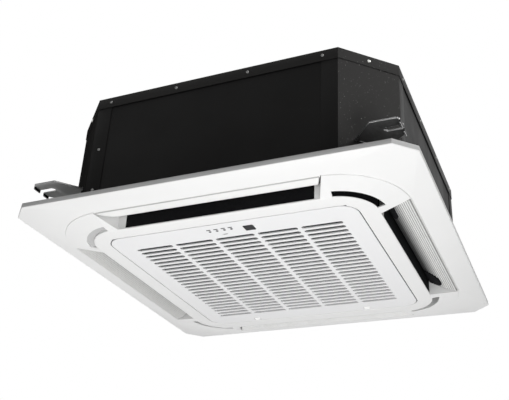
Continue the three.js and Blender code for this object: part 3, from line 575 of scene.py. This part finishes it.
def marked_tree():
    """Copies of a piece at marked points, with the turn and size that each point carries."""
    tree, given, out = node_tree("copies_at_marks", [("Copy", "Object", None), ("Finish", "Material", None)])
    source = tree.nodes.new("GeometryNodeObjectInfo")
    place = tree.nodes.new("GeometryNodeInstanceOnPoints")
    spin = tree.nodes.new("FunctionNodeEulerToRotation")
    marks = {}
    for label in ("turn", "size"):
        mark = tree.nodes.new("GeometryNodeInputNamedAttribute")
        mark.data_type = "FLOAT_VECTOR"
        mark.inputs["Name"].default_value = label
        marks[label] = mark.outputs["Attribute"]
    wired(tree, (given.outputs["Copy"], source.inputs["Object"]),
          (given.outputs["Geometry"], place.inputs["Points"]),
          (source.outputs["Geometry"], place.inputs["Instance"]),
          (marks["turn"], spin.inputs[0]), (spin.outputs[0], place.inputs["Rotation"]),
          (marks["size"], place.inputs["Scale"]))
    return close_tree(tree, given, out, place.outputs["Instances"])


RING = ring_tree()
MARKED = marked_tree()


def grown(name, host_mesh, tree, values):
    """The plain mesh that a tree grows, as a piece; the values are for its named inputs."""
    host = link(bpy.data.objects.new(name, host_mesh))
    modifier = host.modifiers.new("grown", "NODES")
    modifier.node_group = tree
    for item in tree.interface.items_tree:
        if item.in_out == "INPUT" and item.name in values:
            modifier[item.identifier] = values[item.name]
    settled(host)
    bpy.data.objects.remove(values["Copy"])
    return host


def ring_of(name, copy, count, material):
    """A full ring of copies about the vertical axis."""
    values = {"Count": count, "Turn": 2 * math.pi / count, "Copy": copy, "Finish": material}
    return grown(name, bpy.data.meshes.new(name), RING, values)


def copies_at(name, copy, marks, material):
    """Copies at marks, which are (place in mm, turn in radians, size) for each."""
    mesh = bpy.data.meshes.new(name)
    mesh.from_pydata([at(*place) for place, _, _ in marks], [], [])
    for label, values in (("turn", [m[1] for m in marks]), ("size", [m[2] for m in marks])):
        attribute = mesh.attributes.new(label, "FLOAT_VECTOR", "POINT")
        attribute.data.foreach_set("vector", [c for value in values for c in value])
    return grown(name, mesh, MARKED, {"Copy": copy, "Finish": material})


def small(name, points, faces, material):
    """A piece to be copied: its own origin is where a copy goes, so no height is taken off."""
    mesh = bpy.data.meshes.new(name)
    mesh.from_pydata([Vector(p) / 1000 for p in points], [], faces)
    return shell(name, mesh, material)


# ---- panel -----------------------------------------------------------------------------------

def panel():
    """The skin is a loft of outlines, from the lower edge over rim and turret to the opening and back."""
    panel_sizes, rim_sizes = (PANEL_HALF, PANEL_CHAMFER), (RIM_HALF, RIM_RADIUS)
    turret_sizes = (TURRET_HALF, TURRET_RADIUS)
    opening_sizes = (DOOR_HALF + DOOR_GAP, DOOR_RADIUS + DOOR_GAP)
    runs = (
        (cut_square, panel_sizes, ((0, 0, 27.6), (-0.5, -0.2, 26.5), (-1.8, -0.6, 25.8))),
        (round_square, rim_sizes, ((3, 2, RIM_Z + 1.7), (0.5, 0, RIM_Z + 1.2), (-1, -1.5, RIM_Z - 1.0),
                                   (-4, -4, RIM_Z - 1.6))),
        (round_square, turret_sizes, ((3, 3, 2.1), (1, 1, 1.3), (-1.5, -1.5, 0.4), (-4, -4, 0))),
        (round_square, opening_sizes, ((0.6, 0.6, 0), (0, 0, 0.6), (0, 0, 24), (3, 3, 24), (3, 3, 3))),
        (round_square, turret_sizes, ((-4, -4, 3), (1, 1, 4.5))),
        (round_square, rim_sizes, ((0, 0, RIM_Z + 3.3),)),
        (cut_square, panel_sizes, ((-3, -1.2, 29.2), (-3, -1.2, CEILING), (0, 0, CEILING))),
    )
    rings = [at_height(outline(half + wider, corner + larger), z)
             for outline, (half, corner), levels in runs for wider, larger, z in levels]
    skin = piece("panel", *loft(rings), PANEL_WHITE)
    collar = [(SLOT_INNER - DUCT_WALL, 2), (SLOT_OUTER + DUCT_WALL, 16), (SLOT_OUTER + DUCT_WALL, 26),
              (DUCT_NECK + DUCT_WALL, DUCT_TOP), (SLOT_INNER - DUCT_WALL, DUCT_TOP)]
    void = [(SLOT_INNER, -5), (SLOT_OUTER, -5), (SLOT_OUTER, 24), (DUCT_NECK, DUCT_TOP - 1.5),
            (DUCT_NECK, DUCT_TOP + 5), (SLOT_INNER, DUCT_TOP + 5)]
    collars, voids = [], []
    for side in range(4):
        for section, margin, kept in ((collar, DUCT_WALL, collars), (void, 0, voids)):
            kept.append(turned(piece("shape", *slot_bar(section, margin), PANEL_WHITE), side))
        voids.append(turned(piece("arc", *prism(arc_outline(), -5, 50), PANEL_WHITE), side))
    for x in (-HINGE_X, HINGE_X):
        collars.append(piece("hook", *block(x - 5, x + 5, -305.5, -300.8, 2.8, 20), PANEL_WHITE))
        collars.append(piece("arm", *block(x - 5, x + 5, -311.4, -300.9, 16, 20.1), PANEL_WHITE))
    for x in (-RELIEF_X, RELIEF_X):
        voids.append(piece("relief", *block(x - 7.5, x + 7.5, -309.6, -300, -1, 6), PANEL_WHITE))
    carved(skin, ("UNION", together("collars", collars)), ("DIFFERENCE", together("voids", voids)))
    settled(rounded(skin, 0.7, 40))
    skin.data.materials.append(PANEL_EDGE_SHADE)
    # the outer edge's upright faces take the darker copy: painted shade on faces turned from the light
    straight, diagonal = (PANEL_HALF - 0.6) / 1000, (2 * PANEL_HALF - PANEL_CHAMFER - 1) / 1000
    for face in skin.data.polygons:
        x, y = abs(face.center.x), abs(face.center.y)
        if (max(x, y) > straight or x + y > diagonal) and abs(face.normal.z) < 0.3:
            face.material_index = 1
    return skin


def arc_outline(inner=88.0, outer=106.0, margin=7.0):
    """The narrow outlet round the turret's corner; the margin in degrees is left at both ends."""
    steps = 20
    centre = TURRET_HALF - TURRET_RADIUS
    start, end = math.radians(margin), math.radians(90 - margin)
    points = []
    for radius, a, b in ((outer, start, end), (inner, end, start)):
        for step in range(steps + 1):
            angle = a + (b - a) * step / steps
            points.append((centre + radius * math.cos(angle), centre + radius * math.sin(angle)))
    return points


def duct_lining():
    """Black foam on the inner wall of each outlet."""
    wall = [(SLOT_INNER - 0.1, 3.4), (SLOT_INNER + 0.8, 3.4), (SLOT_INNER + 0.8, DUCT_TOP),
            (SLOT_INNER - 0.1, DUCT_TOP)]
    linings = [turned(piece("lining", *prism_along(wall, *LINING_ENDS), DUCT_BLACK), side)
               for side in range(4)]
    return together("duct_lining", linings)


def corner_ducts():
    """The channels behind the corner slots. The near left one is white where the others are black, as painted
    light, and its slot holds a blank whose grey is painted shade.
    """
    near_left = CORNERS.index("near_left")
    shapes = []
    walls = ((87.2, 88.35, 2.4, 37, DUCT_BLACK), (105.8, 107.2, 7.2, 37, PANEL_WHITE),
             (87.2, 107.2, 36.4, 37.4, DUCT_BLACK))
    for side in range(4):
        for inner, outer, low, high, material in walls:
            # the near left channel in white: painted light
            wall = piece("wall", *prism(arc_outline(inner, outer, 6.4), low, high),
                         PANEL_WHITE if side == near_left else material)
            shapes.append(turned(wall, side))
    blank = piece("blank", *prism(arc_outline(87.8, 106.2, 6.6), 7.6, 9.4), BLANK_SHADE)
    return together("corner_ducts", shapes + [turned(blank, near_left)])


# ---- louvres ---------------------------------------------------------------------------------

def blade_point(t, offset):
    """A point across the blade, from its outer edge (0) to its inner one (1)."""
    dx, dz = BLADE_INNER[0] - BLADE_OUTER[0], BLADE_INNER[1] - BLADE_OUTER[1]
    chord = math.hypot(dx, dz)
    rise = offset - BLADE_BULGE * (1 - (2 * t - 1) ** 2)
    return (BLADE_OUTER[0] + dx * t + dz / chord * rise, BLADE_OUTER[1] + dz * t - dx / chord * rise)


def blade_angle(t):
    """The blade's slope at a point across it, as a turn about Y."""
    a, b = blade_point(t - 0.01, 0), blade_point(t + 0.01, 0)
    return math.atan2(b[1] - a[1], a[0] - b[0])


def louvre_shapes():
    """The right louvre's blade with its moulded ribs."""
    steps = 20
    lower = [blade_point(i / steps, 0) for i in range(steps + 1)]
    upper = [blade_point(i / steps, BLADE_THICKNESS) for i in range(steps, -1, -1)]
    # the blade darker than its ribs: painted shade between the ribs
    blade = rounded(piece("blade", *slot_bar(lower + upper, -3), BLADE_GROOVE_SHADE), 0.7)
    edge = piece("bead", *slot_bar(circle(5.3, 20, *BLADE_PIVOT), -1.6), RIB_WHITE)
    pin = piece("pin", *prism_along(circle(1.5, 16, *BLADE_PIVOT), -279.2, 279.2), RIB_WHITE)
    arch = [(1.75 * x, -1.3 * z) for x, z in circle(1, 16)[:9]]
    rib = small("rib", *prism_along(arch, -1, 1), RIB_WHITE)
    marks = []
    for number in range(RIB_COUNT):
        t = 0.06 + 0.88 * number / (RIB_COUNT - 1)
        x, z = blade_point(t, 0.05)
        marks.append(((x, 0, z), (0, blade_angle(t), 0), (1, slot_half(x, -5), 1)))
    ribs = copies_at("ribs", rib, marks, RIB_WHITE)
    return together("louvre", [blade, edge, pin, ribs])


def louvre_arms():
    """Dark levers under the right blade's inner corners, the one at its far end longer and rounded.

    Their outlines are (place across the blade, place along it in mm).
    """
    shapes = []
    lever = [(0.66, -242), (0.94, -243), (0.96, -240), (0.94, -172), (0.9, -160), (0.82, -160),
             (0.8, -168), (0.74, -172), (0.68, -235)]
    lobe = [(0.98, 236), (0.62, 238), (0.54, 234), (0.48, 226), (0.45, 214), (0.47, 198), (0.53, 183),
            (0.62, 171), (0.73, 162), (0.85, 157), (0.97, 155)]
    for outline in (lever, lobe):
        levels = []
        for offset in (-3.4, 1.0):
            places = [(blade_point(t, offset), y) for t, y in outline]
            levels.append([(x, y, z) for (x, z), y in places])
        shapes.append(rounded(piece("lever", *between(*levels), DUCT_BLACK), 0.5))
    return together("arms", shapes)


# ---- grille ----------------------------------------------------------------------------------

def outline_curve(name, outlines, low, high, edge, material):
    """A flat plate with holes and softly rounded edges, from its outline and those of the holes."""
    curve = bpy.data.curves.new(name, "CURVE")
    curve.dimensions = "2D"
    curve.fill_mode = "BOTH"
    curve.extrude = ((high - low) / 2 - edge) / 1000
    curve.bevel_depth = edge / 1000
    curve.bevel_resolution = 1
    curve.offset = -edge / 1000
    for outline in outlines:
        spline = curve.splines.new("POLY")
        spline.points.add(len(outline) - 1)
        for point, (x, y) in zip(spline.points, outline):
            point.co = (x / 1000, y / 1000, 0, 1)
        spline.use_cyclic_u = True
    source = link(bpy.data.objects.new(name, curve))
    graph = bpy.context.evaluated_depsgraph_get()
    mesh = bpy.data.meshes.new_from_object(source.evaluated_get(graph))
    bpy.data.objects.remove(source)
    mesh.transform(Matrix.Translation(at(0, 0, (low + high) / 2)))
    plate = shell(name, mesh, material)
    flat_kept_flat(mesh)
    return plate


def flat_kept_flat(mesh):
    """Sharp edges round the flat faces, so that the rounded edges' shading doesn't run into them."""
    work = bmesh.new()
    work.from_mesh(mesh)
    work.normal_update()
    for edge in work.edges:
        if len({abs(face.normal.z) > 0.9999 for face in edge.link_faces}) == 2:
            edge.smooth = False
    work.to_mesh(mesh)
    work.free()


def box_outline(x0, x1, y0, y1, radius=1.0, steps=4):
    """A rectangle with round corners."""
    points = []
    for cx, cy, start in ((x1 - radius, y0 + radius, -90), (x1 - radius, y1 - radius, 0),
                          (x0 + radius, y1 - radius, 90), (x0 + radius, y0 + radius, 180)):
        for step in range(steps + 1):
            angle = math.radians(start + 90 * step / steps)
            points.append((cx + radius * math.cos(angle), cy + radius * math.sin(angle)))
    return points


def slat_outline(x, y, wider=0.0):
    """One air slot with blunt round ends."""
    along, across = SLAT_SLOT / 2 + wider, SLAT_OPENING / 2 + wider
    return box_outline(x - along, x + along, y - across, y + across, across, 5)


def shrunk(box, gap):
    """A box with a gap left on each side, for a part that sits in a hole."""
    x0, x1, y0, y1 = box
    return x0 + gap, x1 - gap, y0 + gap, y1 - gap


def grille_notches():
    """What the panel's hinge lugs and the latches' tongues need free in the grille's wall."""
    notches = []
    for place, half, y0, y1 in ((HINGE_X, 6.5, -309, -299.2), (LATCH_X, 8.5, 300, 310)):
        for x in (-place, place):
            notches.append(piece("notch", *block(x - half, x + half, y0, y1, 2.05, 14), GRILLE_WHITE))
    return together("notches", notches)


def door_ring(name, section, material):
    """A ring along the grille's edge over a section of (inset, height)."""
    rings = [at_height(round_square(DOOR_HALF - inset, DOOR_RADIUS - inset), z) for inset, z in section]
    return carved(piece(name, *loft(rings), material), ("DIFFERENCE", grille_notches()))


def grille():
    """The intake grille: its slotted face with sleeves behind the slots, its wall, a dark strip in the door's
    gap as painted shade, bars and hinge.
    """
    column_pitch = SLAT_SLOT + GRILLE_BAR
    slots = [((column - (GRILLE_COLUMNS - 1) / 2) * column_pitch, GRILLE_FIRST + row * GRILLE_PITCH)
             for column in range(GRILLE_COLUMNS) for row in range(GRILLE_ROWS)]
    outlines = [round_square(DOOR_HALF, DOOR_RADIUS)] + [slat_outline(x, y) for x, y in slots]
    outlines += [box_outline(*WINDOW_HOLE, 3), box_outline(*BUTTON_HOLE, 2.4)]
    outlines += [box_outline(x - 9.5, x + 9.5, 287, 303.5) for x in (-LATCH_X, LATCH_X)]
    face = outline_curve("face", outlines, 0, 2.0, 0.7, GRILLE_WHITE)
    wall = door_ring("wall", ((0.1, 1.2), (0.1, 12), (2.2, 12), (2.2, 1.2)), GRILLE_WHITE)
    # a dark strip in the gap round the grille: painted shade for the seam
    gasket = door_ring("gasket", ((-0.4, 2.3), (-0.4, 8.5), (0.4, 8.5), (0.4, 2.3)), DARK_PLASTIC)
    inner, outer = slat_outline(0, 0), slat_outline(0, 0, 0.9)
    sleeve = small("sleeve", *loft([at_height(inner, 1.0), at_height(inner, 4.0), at_height(outer, 4.0),
                                    at_height(outer, 1.0)]), GRILLE_WHITE)
    marks = [((x, y, 0), (0, 0, 0), (1, 1, 0.93 + 0.0007 * y)) for x, y in slots]
    sleeves = copies_at("sleeves", sleeve, marks, GRILLE_WHITE)
    bars = []
    for number in range(GRILLE_COLUMNS + 1):
        x = (number - GRILLE_COLUMNS / 2) * column_pitch
        bars.append(piece("bar", *block(x - 1.5, x + 1.5, -246, 256, 1.5, 10.5), GRILLE_WHITE))
    knuckles = []
    for hinge in (-HINGE_X, HINGE_X):
        for x in (hinge - 11, hinge + 11):
            knuckle = piece("knuckle", *block(x - 4, x + 4, -307.5, -301.8, 1.7, 7.2), GRILLE_WHITE)
            knuckles.append(rounded(knuckle, 0.8))
    return together("grille", [face, wall, gasket, sleeves] + bars + knuckles)


def window():
    """The smoked window over the display, sunk into its hole."""
    outline = box_outline(*shrunk(WINDOW_HOLE, 0.4), 2.6)
    return outline_curve("window", [outline], 0.1, 2.4, 0.5, WINDOW_DARK)


def icons():
    """Plain marks beside the window, each with an indicator light behind it."""
    shapes = []
    for x in ICON_PLACES:
        mark, light = box_outline(x - 5.6, x + 4.8, -287.4, -283.8, 0.8), circle(LIGHT_RADIUS, 16, x, LIGHT_Y)
        shapes.append(outline_curve("mark", [mark], -0.12, 0.3, 0.05, MARK_GREY))
        shapes.append(outline_curve("light", [light], -0.15, 0.3, 0.05, MARK_GREY))
    return together("icons", shapes)


def button():
    """The push button's cap with its mark, and the foot that holds it behind the face."""
    outline = box_outline(*shrunk(BUTTON_HOLE, 0.5), 2.2)
    cap = outline_curve("cap", [outline], 0.05, 3.3, 0.4, GRILLE_WHITE)
    foot = piece("foot", *block(-24, -4, -261.4, -252.6, 2.6, 3.6), GRILLE_WHITE)
    mark = outline_curve("mark", [box_outline(-19.5, -8.5, -258.2, -255.8, 1.0)], -0.06, 0.3, 0.04, MARK_GREY)
    return together("button", [cap, foot, mark])


def latch(x):
    """A slide latch: the ridged knob in the face, the slide behind it and the tongue that locks."""
    knob = outline_curve("knob", [box_outline(x - 8.6, x + 8.6, 294.5, 303.1)], 0.2, 2.7, 0.4, LATCH_WHITE)
    slide = rounded(piece("slide", *block(x - 13, x + 13, 281, 299.4, 2.5, 6.4), LATCH_WHITE), 0.6)
    tongue = rounded(piece("tongue", *block(x - 7.8, x + 7.8, 296, 309.4, 4, 6.4), LATCH_WHITE), 0.6)
    ridge = small("ridge", *block(-7, 7, -0.5, 0.5, -0.4, 0.6), LATCH_WHITE)
    marks = [((x, 296.2 + 1.8 * n, 0.35), (0, 0, 0), (1, 1, 1)) for n in range(4)]
    return together("latch", [knob, slide, tongue, copies_at("ridges", ridge, marks, LATCH_WHITE)])


# ---- body ------------------------------------------------------------------------------------

def dressed(node, material, edge):
    """A CAD piece with its edges rounded by a width in millimetres and its finish put on."""
    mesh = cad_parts[node].data.copy()
    work = bmesh.new()
    work.from_mesh(mesh)
    bmesh.ops.remove_doubles(work, verts=work.verts, dist=2e-6)
    bmesh.ops.dissolve_limit(work, angle_limit=math.radians(0.5), verts=work.verts, edges=work.edges)
    work.to_mesh(mesh)
    work.free()
    mesh.materials.clear()
    mesh.materials.append(material)
    smooth_up_to(mesh, SHARP_ANGLE)
    obj = rounded(link(bpy.data.objects.new(node + "_look", mesh)), edge, 40)
    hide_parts(node)
    return obj


def dust_and_light_corners(obj):
    """Puts the lighter finish on the faces of the cut corners: dust flecks, on a base painted lighter for the
    light on the chamfers.
    """
    settled(obj)
    obj.data.materials.append(DUST_AND_LIGHT_SHEET)
    for face in obj.data.polygons:
        if abs(face.normal.x) > 0.5 and abs(face.normal.y) > 0.5:
            face.material_index = 1
    return obj


def screw_copy():
    """A pan-head screw with a cross recess, standing on its own origin along +Z."""
    steps = 16
    points = [(0, 0, 2.0)]
    for radius, z in ((1.6, 1.9), (3.0, 1.4), (3.6, 0.6), (3.7, 0.0)):
        points += at_height(circle(radius, steps), z)
    faces = [(0, 1 + s, 1 + (s + 1) % steps) for s in range(steps)]
    last = len(points) - steps
    for a in range(1, last, steps):
        b = a + steps
        faces += [(a + s, b + s, b + (s + 1) % steps, a + (s + 1) % steps) for s in range(steps)]
    faces.append(tuple(range(last, last + steps))[::-1])
    head = small("head", points, faces, SCREW_ZINC)
    for side in (0, 1):
        bar = small("bar", *block(-2.0, 2.0, -0.45, 0.45, 1.2, 3), SCREW_ZINC)
        carved(head, ("DIFFERENCE", turned(bar, side)))
    return head


def facing_out(side, place, extra_turn, size):
    """A mark for a screw: its place on the right side (0), turned to another one, and the way it faces."""
    turn = Matrix.Rotation(side * math.pi / 2, 3, "Z")
    facing = Euler((0, math.pi / 2, (side + extra_turn) * math.pi / 2))
    return tuple(turn @ Vector(place)), tuple(facing), size


def screw_marks():
    """The screws of the cover's straight sides and those of the walls."""
    places = [(BODY_HALF + 1.5, y, COVER_SCREW_Z) for y in COVER_SCREW_PLACES]
    places += [(BODY_HALF, WALL_SCREW_Y, z) for z in WALL_SCREW_HEIGHTS]
    return [facing_out(side, place, 0, (1, 1, 1)) for side in range(4) for place in places]


def corner_screw_marks():
    """The brighter screws in the cover's cut corners."""
    middle = BODY_HALF - BODY_CHAMFER / 2 + 1.1
    return [facing_out(side, (middle, middle, COVER_SCREW_Z), 0.5, (1, 1.3, 1.3)) for side in range(4)]


# ---- fan and its surroundings ----------------------------------------------------------------

def bell_mouth():
    """The fan's inlet ring, rounded where the air enters."""
    low = 39.0
    profile = [(228, 0), (228, 2.4), (206, 2.4), (200, 5.4), (194, 12), (187, 24), (183.4, 36), (182, 45),
               (181, 54), (178, 54), (178.6, 45), (180, 34), (184, 22), (191, 10), (197, 3.2), (204, 0)]
    raised = [(radius, low + z) for radius, z in profile]
    return piece("bell_mouth_look", *lathe(raised, 128), DARK_PLASTIC)


def fan_wheel():
    """A turbo fan wheel: the hub's back plate, the inlet shroud and the swept blades between them."""
    hub = piece("hub", *lathe([
        (7.5, 192), (24, 192), (24, 209), (52, 216), (82, 229.5), (97, 244), (110, 257), (128, 260.5),
        (236, 262), (236, 265), (128, 263.6), (106, 261), (93, 247), (80, 232.5), (50, 219), (22, 214),
        (22, 218), (7.5, 218)]), FAN_GREY)
    shroud = piece("shroud", *lathe([
        (186, 86), (189, 86), (189, 98), (194, 106), (206, 113.5), (236, 124), (236, 127), (204, 116.5),
        (191, 108.5), (186, 100)]), FAN_GREY)
    steps = 14
    sweep = math.radians(46)
    plan = []
    for offset, order in ((-1.5, range(steps + 1)), (1.5, range(steps, -1, -1))):
        for step in order:
            t = step / steps
            radius = 132 + 102 * t + offset
            angle = -sweep * t ** 0.8
            plan.append((radius * math.cos(angle), radius * math.sin(angle), radius))
    feet = [(x, y, 104 if radius < 186 else 106 + 19 * min(1, (radius - 186) / 50))
            for x, y, radius in plan]
    blade = piece("blade", *between(feet, [(x, y, 262.5) for x, y, _ in plan]), FAN_GREY)
    return together("fan_wheel_look", [hub, shroud, ring_of("blades", blade, FAN_BLADES, FAN_GREY)])


# ---- assembly --------------------------------------------------------------------------------

def seat(obj, name, body, slot, *nodes):
    """Names a finished piece, hangs it on the body it rides on and hides the CAD pieces it stands for; the
    slot argument is not used.
    """
    obj.name = name
    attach(obj, body)
    if nodes:
        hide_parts(*nodes)
    return obj


seat(panel(), "panel", "unit", "white_panel", "panel_frame")
seat(duct_lining(), "duct_lining", "unit", "black_foam")
seat(corner_ducts(), "corner_ducts", "unit", "black_foam")

blade_master = louvre_shapes()
for number, side in enumerate(SIDES):
    blade = seat(turned_copy(blade_master, number), f"louvre_blade_{side}", f"louvre_{side}_body",
                 "louvre_plastic", f"louvre_{side}")
    # the right blade takes the copies with painted shade, and the left one its grey copy with painted shade
    for place, material in enumerate(blade.data.materials):
        if side == "right":
            blade.data.materials[place] = SHADED_RIB if material == RIB_WHITE else SHADED_BLADE
        elif side == "left":
            blade.data.materials[place] = LEFT_BLADE_SHADE
    if side == "right":
        seat(louvre_arms(), "louvre_arms_right", "louvre_right_body", "dark_plastic")
bpy.data.objects.remove(blade_master)

seat(grille(), "grille_look", "grille", "white_panel", "grille_door")
seat(window(), "window_look", "grille", "smoked_window", "display_window")
seat(icons(), "indicator_marks", "grille", "dark_plastic")
seat(button(), "button_look", "button_body", "white_panel", "push_button")
seat(latch(-LATCH_X), "latch_left_look", "latch_left_body", "white_panel", "latch_left")
seat(latch(LATCH_X), "latch_right_look", "latch_right_body", "white_panel", "latch_right")

seat(dust_and_light_corners(dressed("top_cover", COVER_SHEET_LIT, 0.4)), "top_cover_look", "unit", "black_sheet")
for side, corner in zip(SIDES, CORNERS):
    seat(dressed(f"casing_wall_{side}", BLACK_SHEET, 0.4), f"casing_wall_{side}_look", "unit", "black_sheet")
    seat(dust_and_light_corners(dressed(f"casing_corner_{corner}", BLACK_SHEET, 0.4)),
         f"casing_corner_{corner}_look", "unit", "black_sheet")
for corner in CORNERS:
    # the left hangers take the light copy and the right ones the dark copy: painted light and painted shade
    steel = HANGER_LIT if corner.endswith("left") else HANGER_SHADED
    hanger = settled(dressed(f"hanger_{corner}", steel, 0.9))
    hanger.data.materials.append(HANGER_UPRIGHT_SHADE)
    hanger.data.materials.append(ROD_STEEL_AND_HIGHLIGHT)
    for face in hanger.data.polygons:  # upright faces in painted shade, and painted highlights on the rounded edges
        flat = abs(face.normal.z)
        face.material_index = 1 if flat < 0.3 else 2 if flat < 0.95 else 0
    seat(hanger, f"hanger_{corner}_look", "unit", "galvanised_sheet")
seat(copies_at("screws", screw_copy(), screw_marks(), SCREW_DULL), "body_screws", "unit", "galvanised_sheet")
seat(copies_at("screws", screw_copy(), corner_screw_marks(), SCREW_ZINC), "corner_screws", "unit",
     "galvanised_sheet")

seat(bell_mouth(), "bell_mouth_look", "unit", "dark_plastic", "bell_mouth")
seat(fan_wheel(), "fan_wheel_look", "fan", "fan_plastic", "fan_wheel")

for node, material, body, slot, edge in (
        ("gas_pipe", COPPER, "unit", "copper_tube", 1.2),
        ("liquid_pipe", COPPER, "unit", "copper_tube", 0.9),
        ("gas_flare_nut", BRASS, "unit", "brass_nut", 0.8),
        ("liquid_flare_nut", BRASS, "unit", "brass_nut", 0.6),
        ("drain_outlet", FITTING_WHITE, "unit", "white_fitting", 0.8),
        ("fan_nut", BRASS, "fan", "brass_nut", 0.8),
        ("control_box", GREY_SHEET, "unit", "galvanised_sheet", 0.3),
        ("control_box_cover", GREY_SHEET, "unit", "galvanised_sheet", 0.5),
        ("motor_bracket", GREY_SHEET, "unit", "galvanised_sheet", 0.4),
        ("fan_motor", MOTOR_CASE, "unit", "motor_casting", 2.0),
        ("drain_pump", DARK_PLASTIC, "unit", "dark_plastic", 0.8)):
    seat(dressed(node, material, edge), node + "_look", body, slot)

# CAD pieces that show as they are, in their finishes; the rest of them is out of sight or stood for
PLAIN = {
    "ceiling_seal": BLACK_FOAM, "insulation_liner": BLACK_FOAM, "drain_pan": BLACK_FOAM,
    "air_filter": FILTER_NET, "display_board": BOARD_GREEN, "control_board": BOARD_GREEN,
    "terminal_block": DARK_PLASTIC, "float_stem": DARK_PLASTIC, "level_float": FITTING_WHITE,
    "pump_impeller": FITTING_WHITE, "motor_shaft": ROD_STEEL_AND_HIGHLIGHT, "hinge_pin_left": ROD_STEEL_AND_HIGHLIGHT,
    "hinge_pin_right": ROD_STEEL_AND_HIGHLIGHT, "evaporator_coil": FIN_METAL, "coil_end_plate_left": GREY_SHEET,
    "coil_end_plate_far": GREY_SHEET,
}
PLAIN.update({f"louvre_motor_{side}": MOTOR_CASE for side in SIDES})
for name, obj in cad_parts.items():
    obj.data.materials.clear()
    obj.data.materials.append(PLAIN.get(name, GREY_SHEET))


# ---- stage, light and camera -----------------------------------------------------------------

def seen_directly(tree):
    """1 where the camera, a reflection or clear plastic looks at a surface, and 0 for soft light."""
    path = tree.nodes.new("ShaderNodeLightPath")
    seen = path.outputs["Is Camera Ray"]
    for ray in ("Is Glossy Ray", "Is Transmission Ray"):
        either = tree.nodes.new("ShaderNodeMath")
        either.operation = "MAXIMUM"
        tree.links.new(seen, either.inputs[0])
        tree.links.new(path.outputs[ray], either.inputs[1])
        seen = either.outputs[0]
    return seen


def stage_floor():
    mesh = bpy.data.meshes.new("floor")
    corners = [(x * FLOOR_HALF, y * FLOOR_HALF, FLOOR_Z) for x, y in ((-1, -1), (1, -1), (1, 1), (-1, 1))]
    mesh.from_pydata(corners, [], [(0, 1, 2, 3)])
    material = finish("floor_pale", (0.4, 0.4, 0.4), 0.9, Emission_Color=(1, 1, 1, 1))
    bump(material, noise(material, 3, 2), 0.02, 0.01)
    glow = material.node_tree.nodes.new("ShaderNodeMath")
    glow.operation = "MULTIPLY"
    glow.inputs[1].default_value = 0.42
    material.node_tree.links.new(seen_directly(material.node_tree), glow.inputs[0])
    shade(material, "Emission Strength", glow.outputs[0])
    mesh.materials.append(material)
    link(bpy.data.objects.new("floor", mesh))


def lamp(name, place, target, size, power):
    data = bpy.data.lights.new(name, "AREA")
    data.shape = "SQUARE"
    data.size = size
    data.energy = power
    obj = link(bpy.data.objects.new(name, data))
    obj.location = place
    obj.rotation_euler = (Vector(target) - Vector(place)).to_track_quat("-Z", "Y").to_euler()
    obj.visible_camera = False


def studio():
    """White to the camera and in reflections, and a plain soft light on the object."""
    world = bpy.data.worlds.new("studio")
    bpy.context.scene.world = world
    world.use_nodes = True
    nodes, links = world.node_tree.nodes, world.node_tree.links
    background = nodes["Background"]
    background.inputs["Color"].default_value = (1, 1, 1, 1)
    background.inputs["Strength"].default_value = 0.1
    backdrop = nodes.new("ShaderNodeBackground")
    backdrop.inputs["Color"].default_value = (1, 1, 1, 1)
    backdrop.inputs["Strength"].default_value = 1.0
    mix = nodes.new("ShaderNodeMixShader")
    links.new(seen_directly(world.node_tree), mix.inputs["Fac"])
    links.new(background.outputs[0], mix.inputs[1])
    links.new(backdrop.outputs[0], mix.inputs[2])
    links.new(mix.outputs[0], nodes["World Output"].inputs["Surface"])
    lamp("overhead", (-0.5, 1.2, 6), (0, 0, 0), 5, 90)
    lamp("below", (0.0, -0.72, -2.0), (0, -0.1, 0), 2.0, 43)
    lamp("side", (1.5, -1.3, -1.2), (0.1, 0, 0), 0.8, 10)
    lamp("right", (4.0, -0.2, 3.0), (0.36, -0.36, 0.19), 3.0, 165)


def camera():
    """The photograph's viewpoint."""
    data = bpy.data.cameras.new("camera")
    data.sensor_width = 36
    data.lens = PHOTO_FOCUS * data.sensor_width / PHOTO_WIDTH
    data.shift_x = -(PHOTO_CENTRE[0] - PHOTO_WIDTH / 2) / PHOTO_WIDTH
    data.shift_y = (PHOTO_CENTRE[1] - PHOTO_HEIGHT / 2) / PHOTO_WIDTH
    obj = link(bpy.data.objects.new("camera", data))
    flat = math.cos(PITCH)
    forward = Vector((math.sin(YAW) * flat, math.cos(YAW) * flat, math.sin(PITCH)))
    right = Vector((math.cos(YAW), -math.sin(YAW), 0))
    up = right.cross(forward)
    across = math.cos(ROLL) * right + math.sin(ROLL) * up
    above = -math.sin(ROLL) * right + math.cos(ROLL) * up
    columns = (across, above, -forward, at(*EYE))
    obj.matrix_world = Matrix([[column[row] for column in columns] for row in range(3)] + [[0, 0, 0, 1]])
    bpy.context.scene.camera = obj


stage_floor()
studio()
camera()
bpy.context.scene.view_settings.view_transform = "Standard"
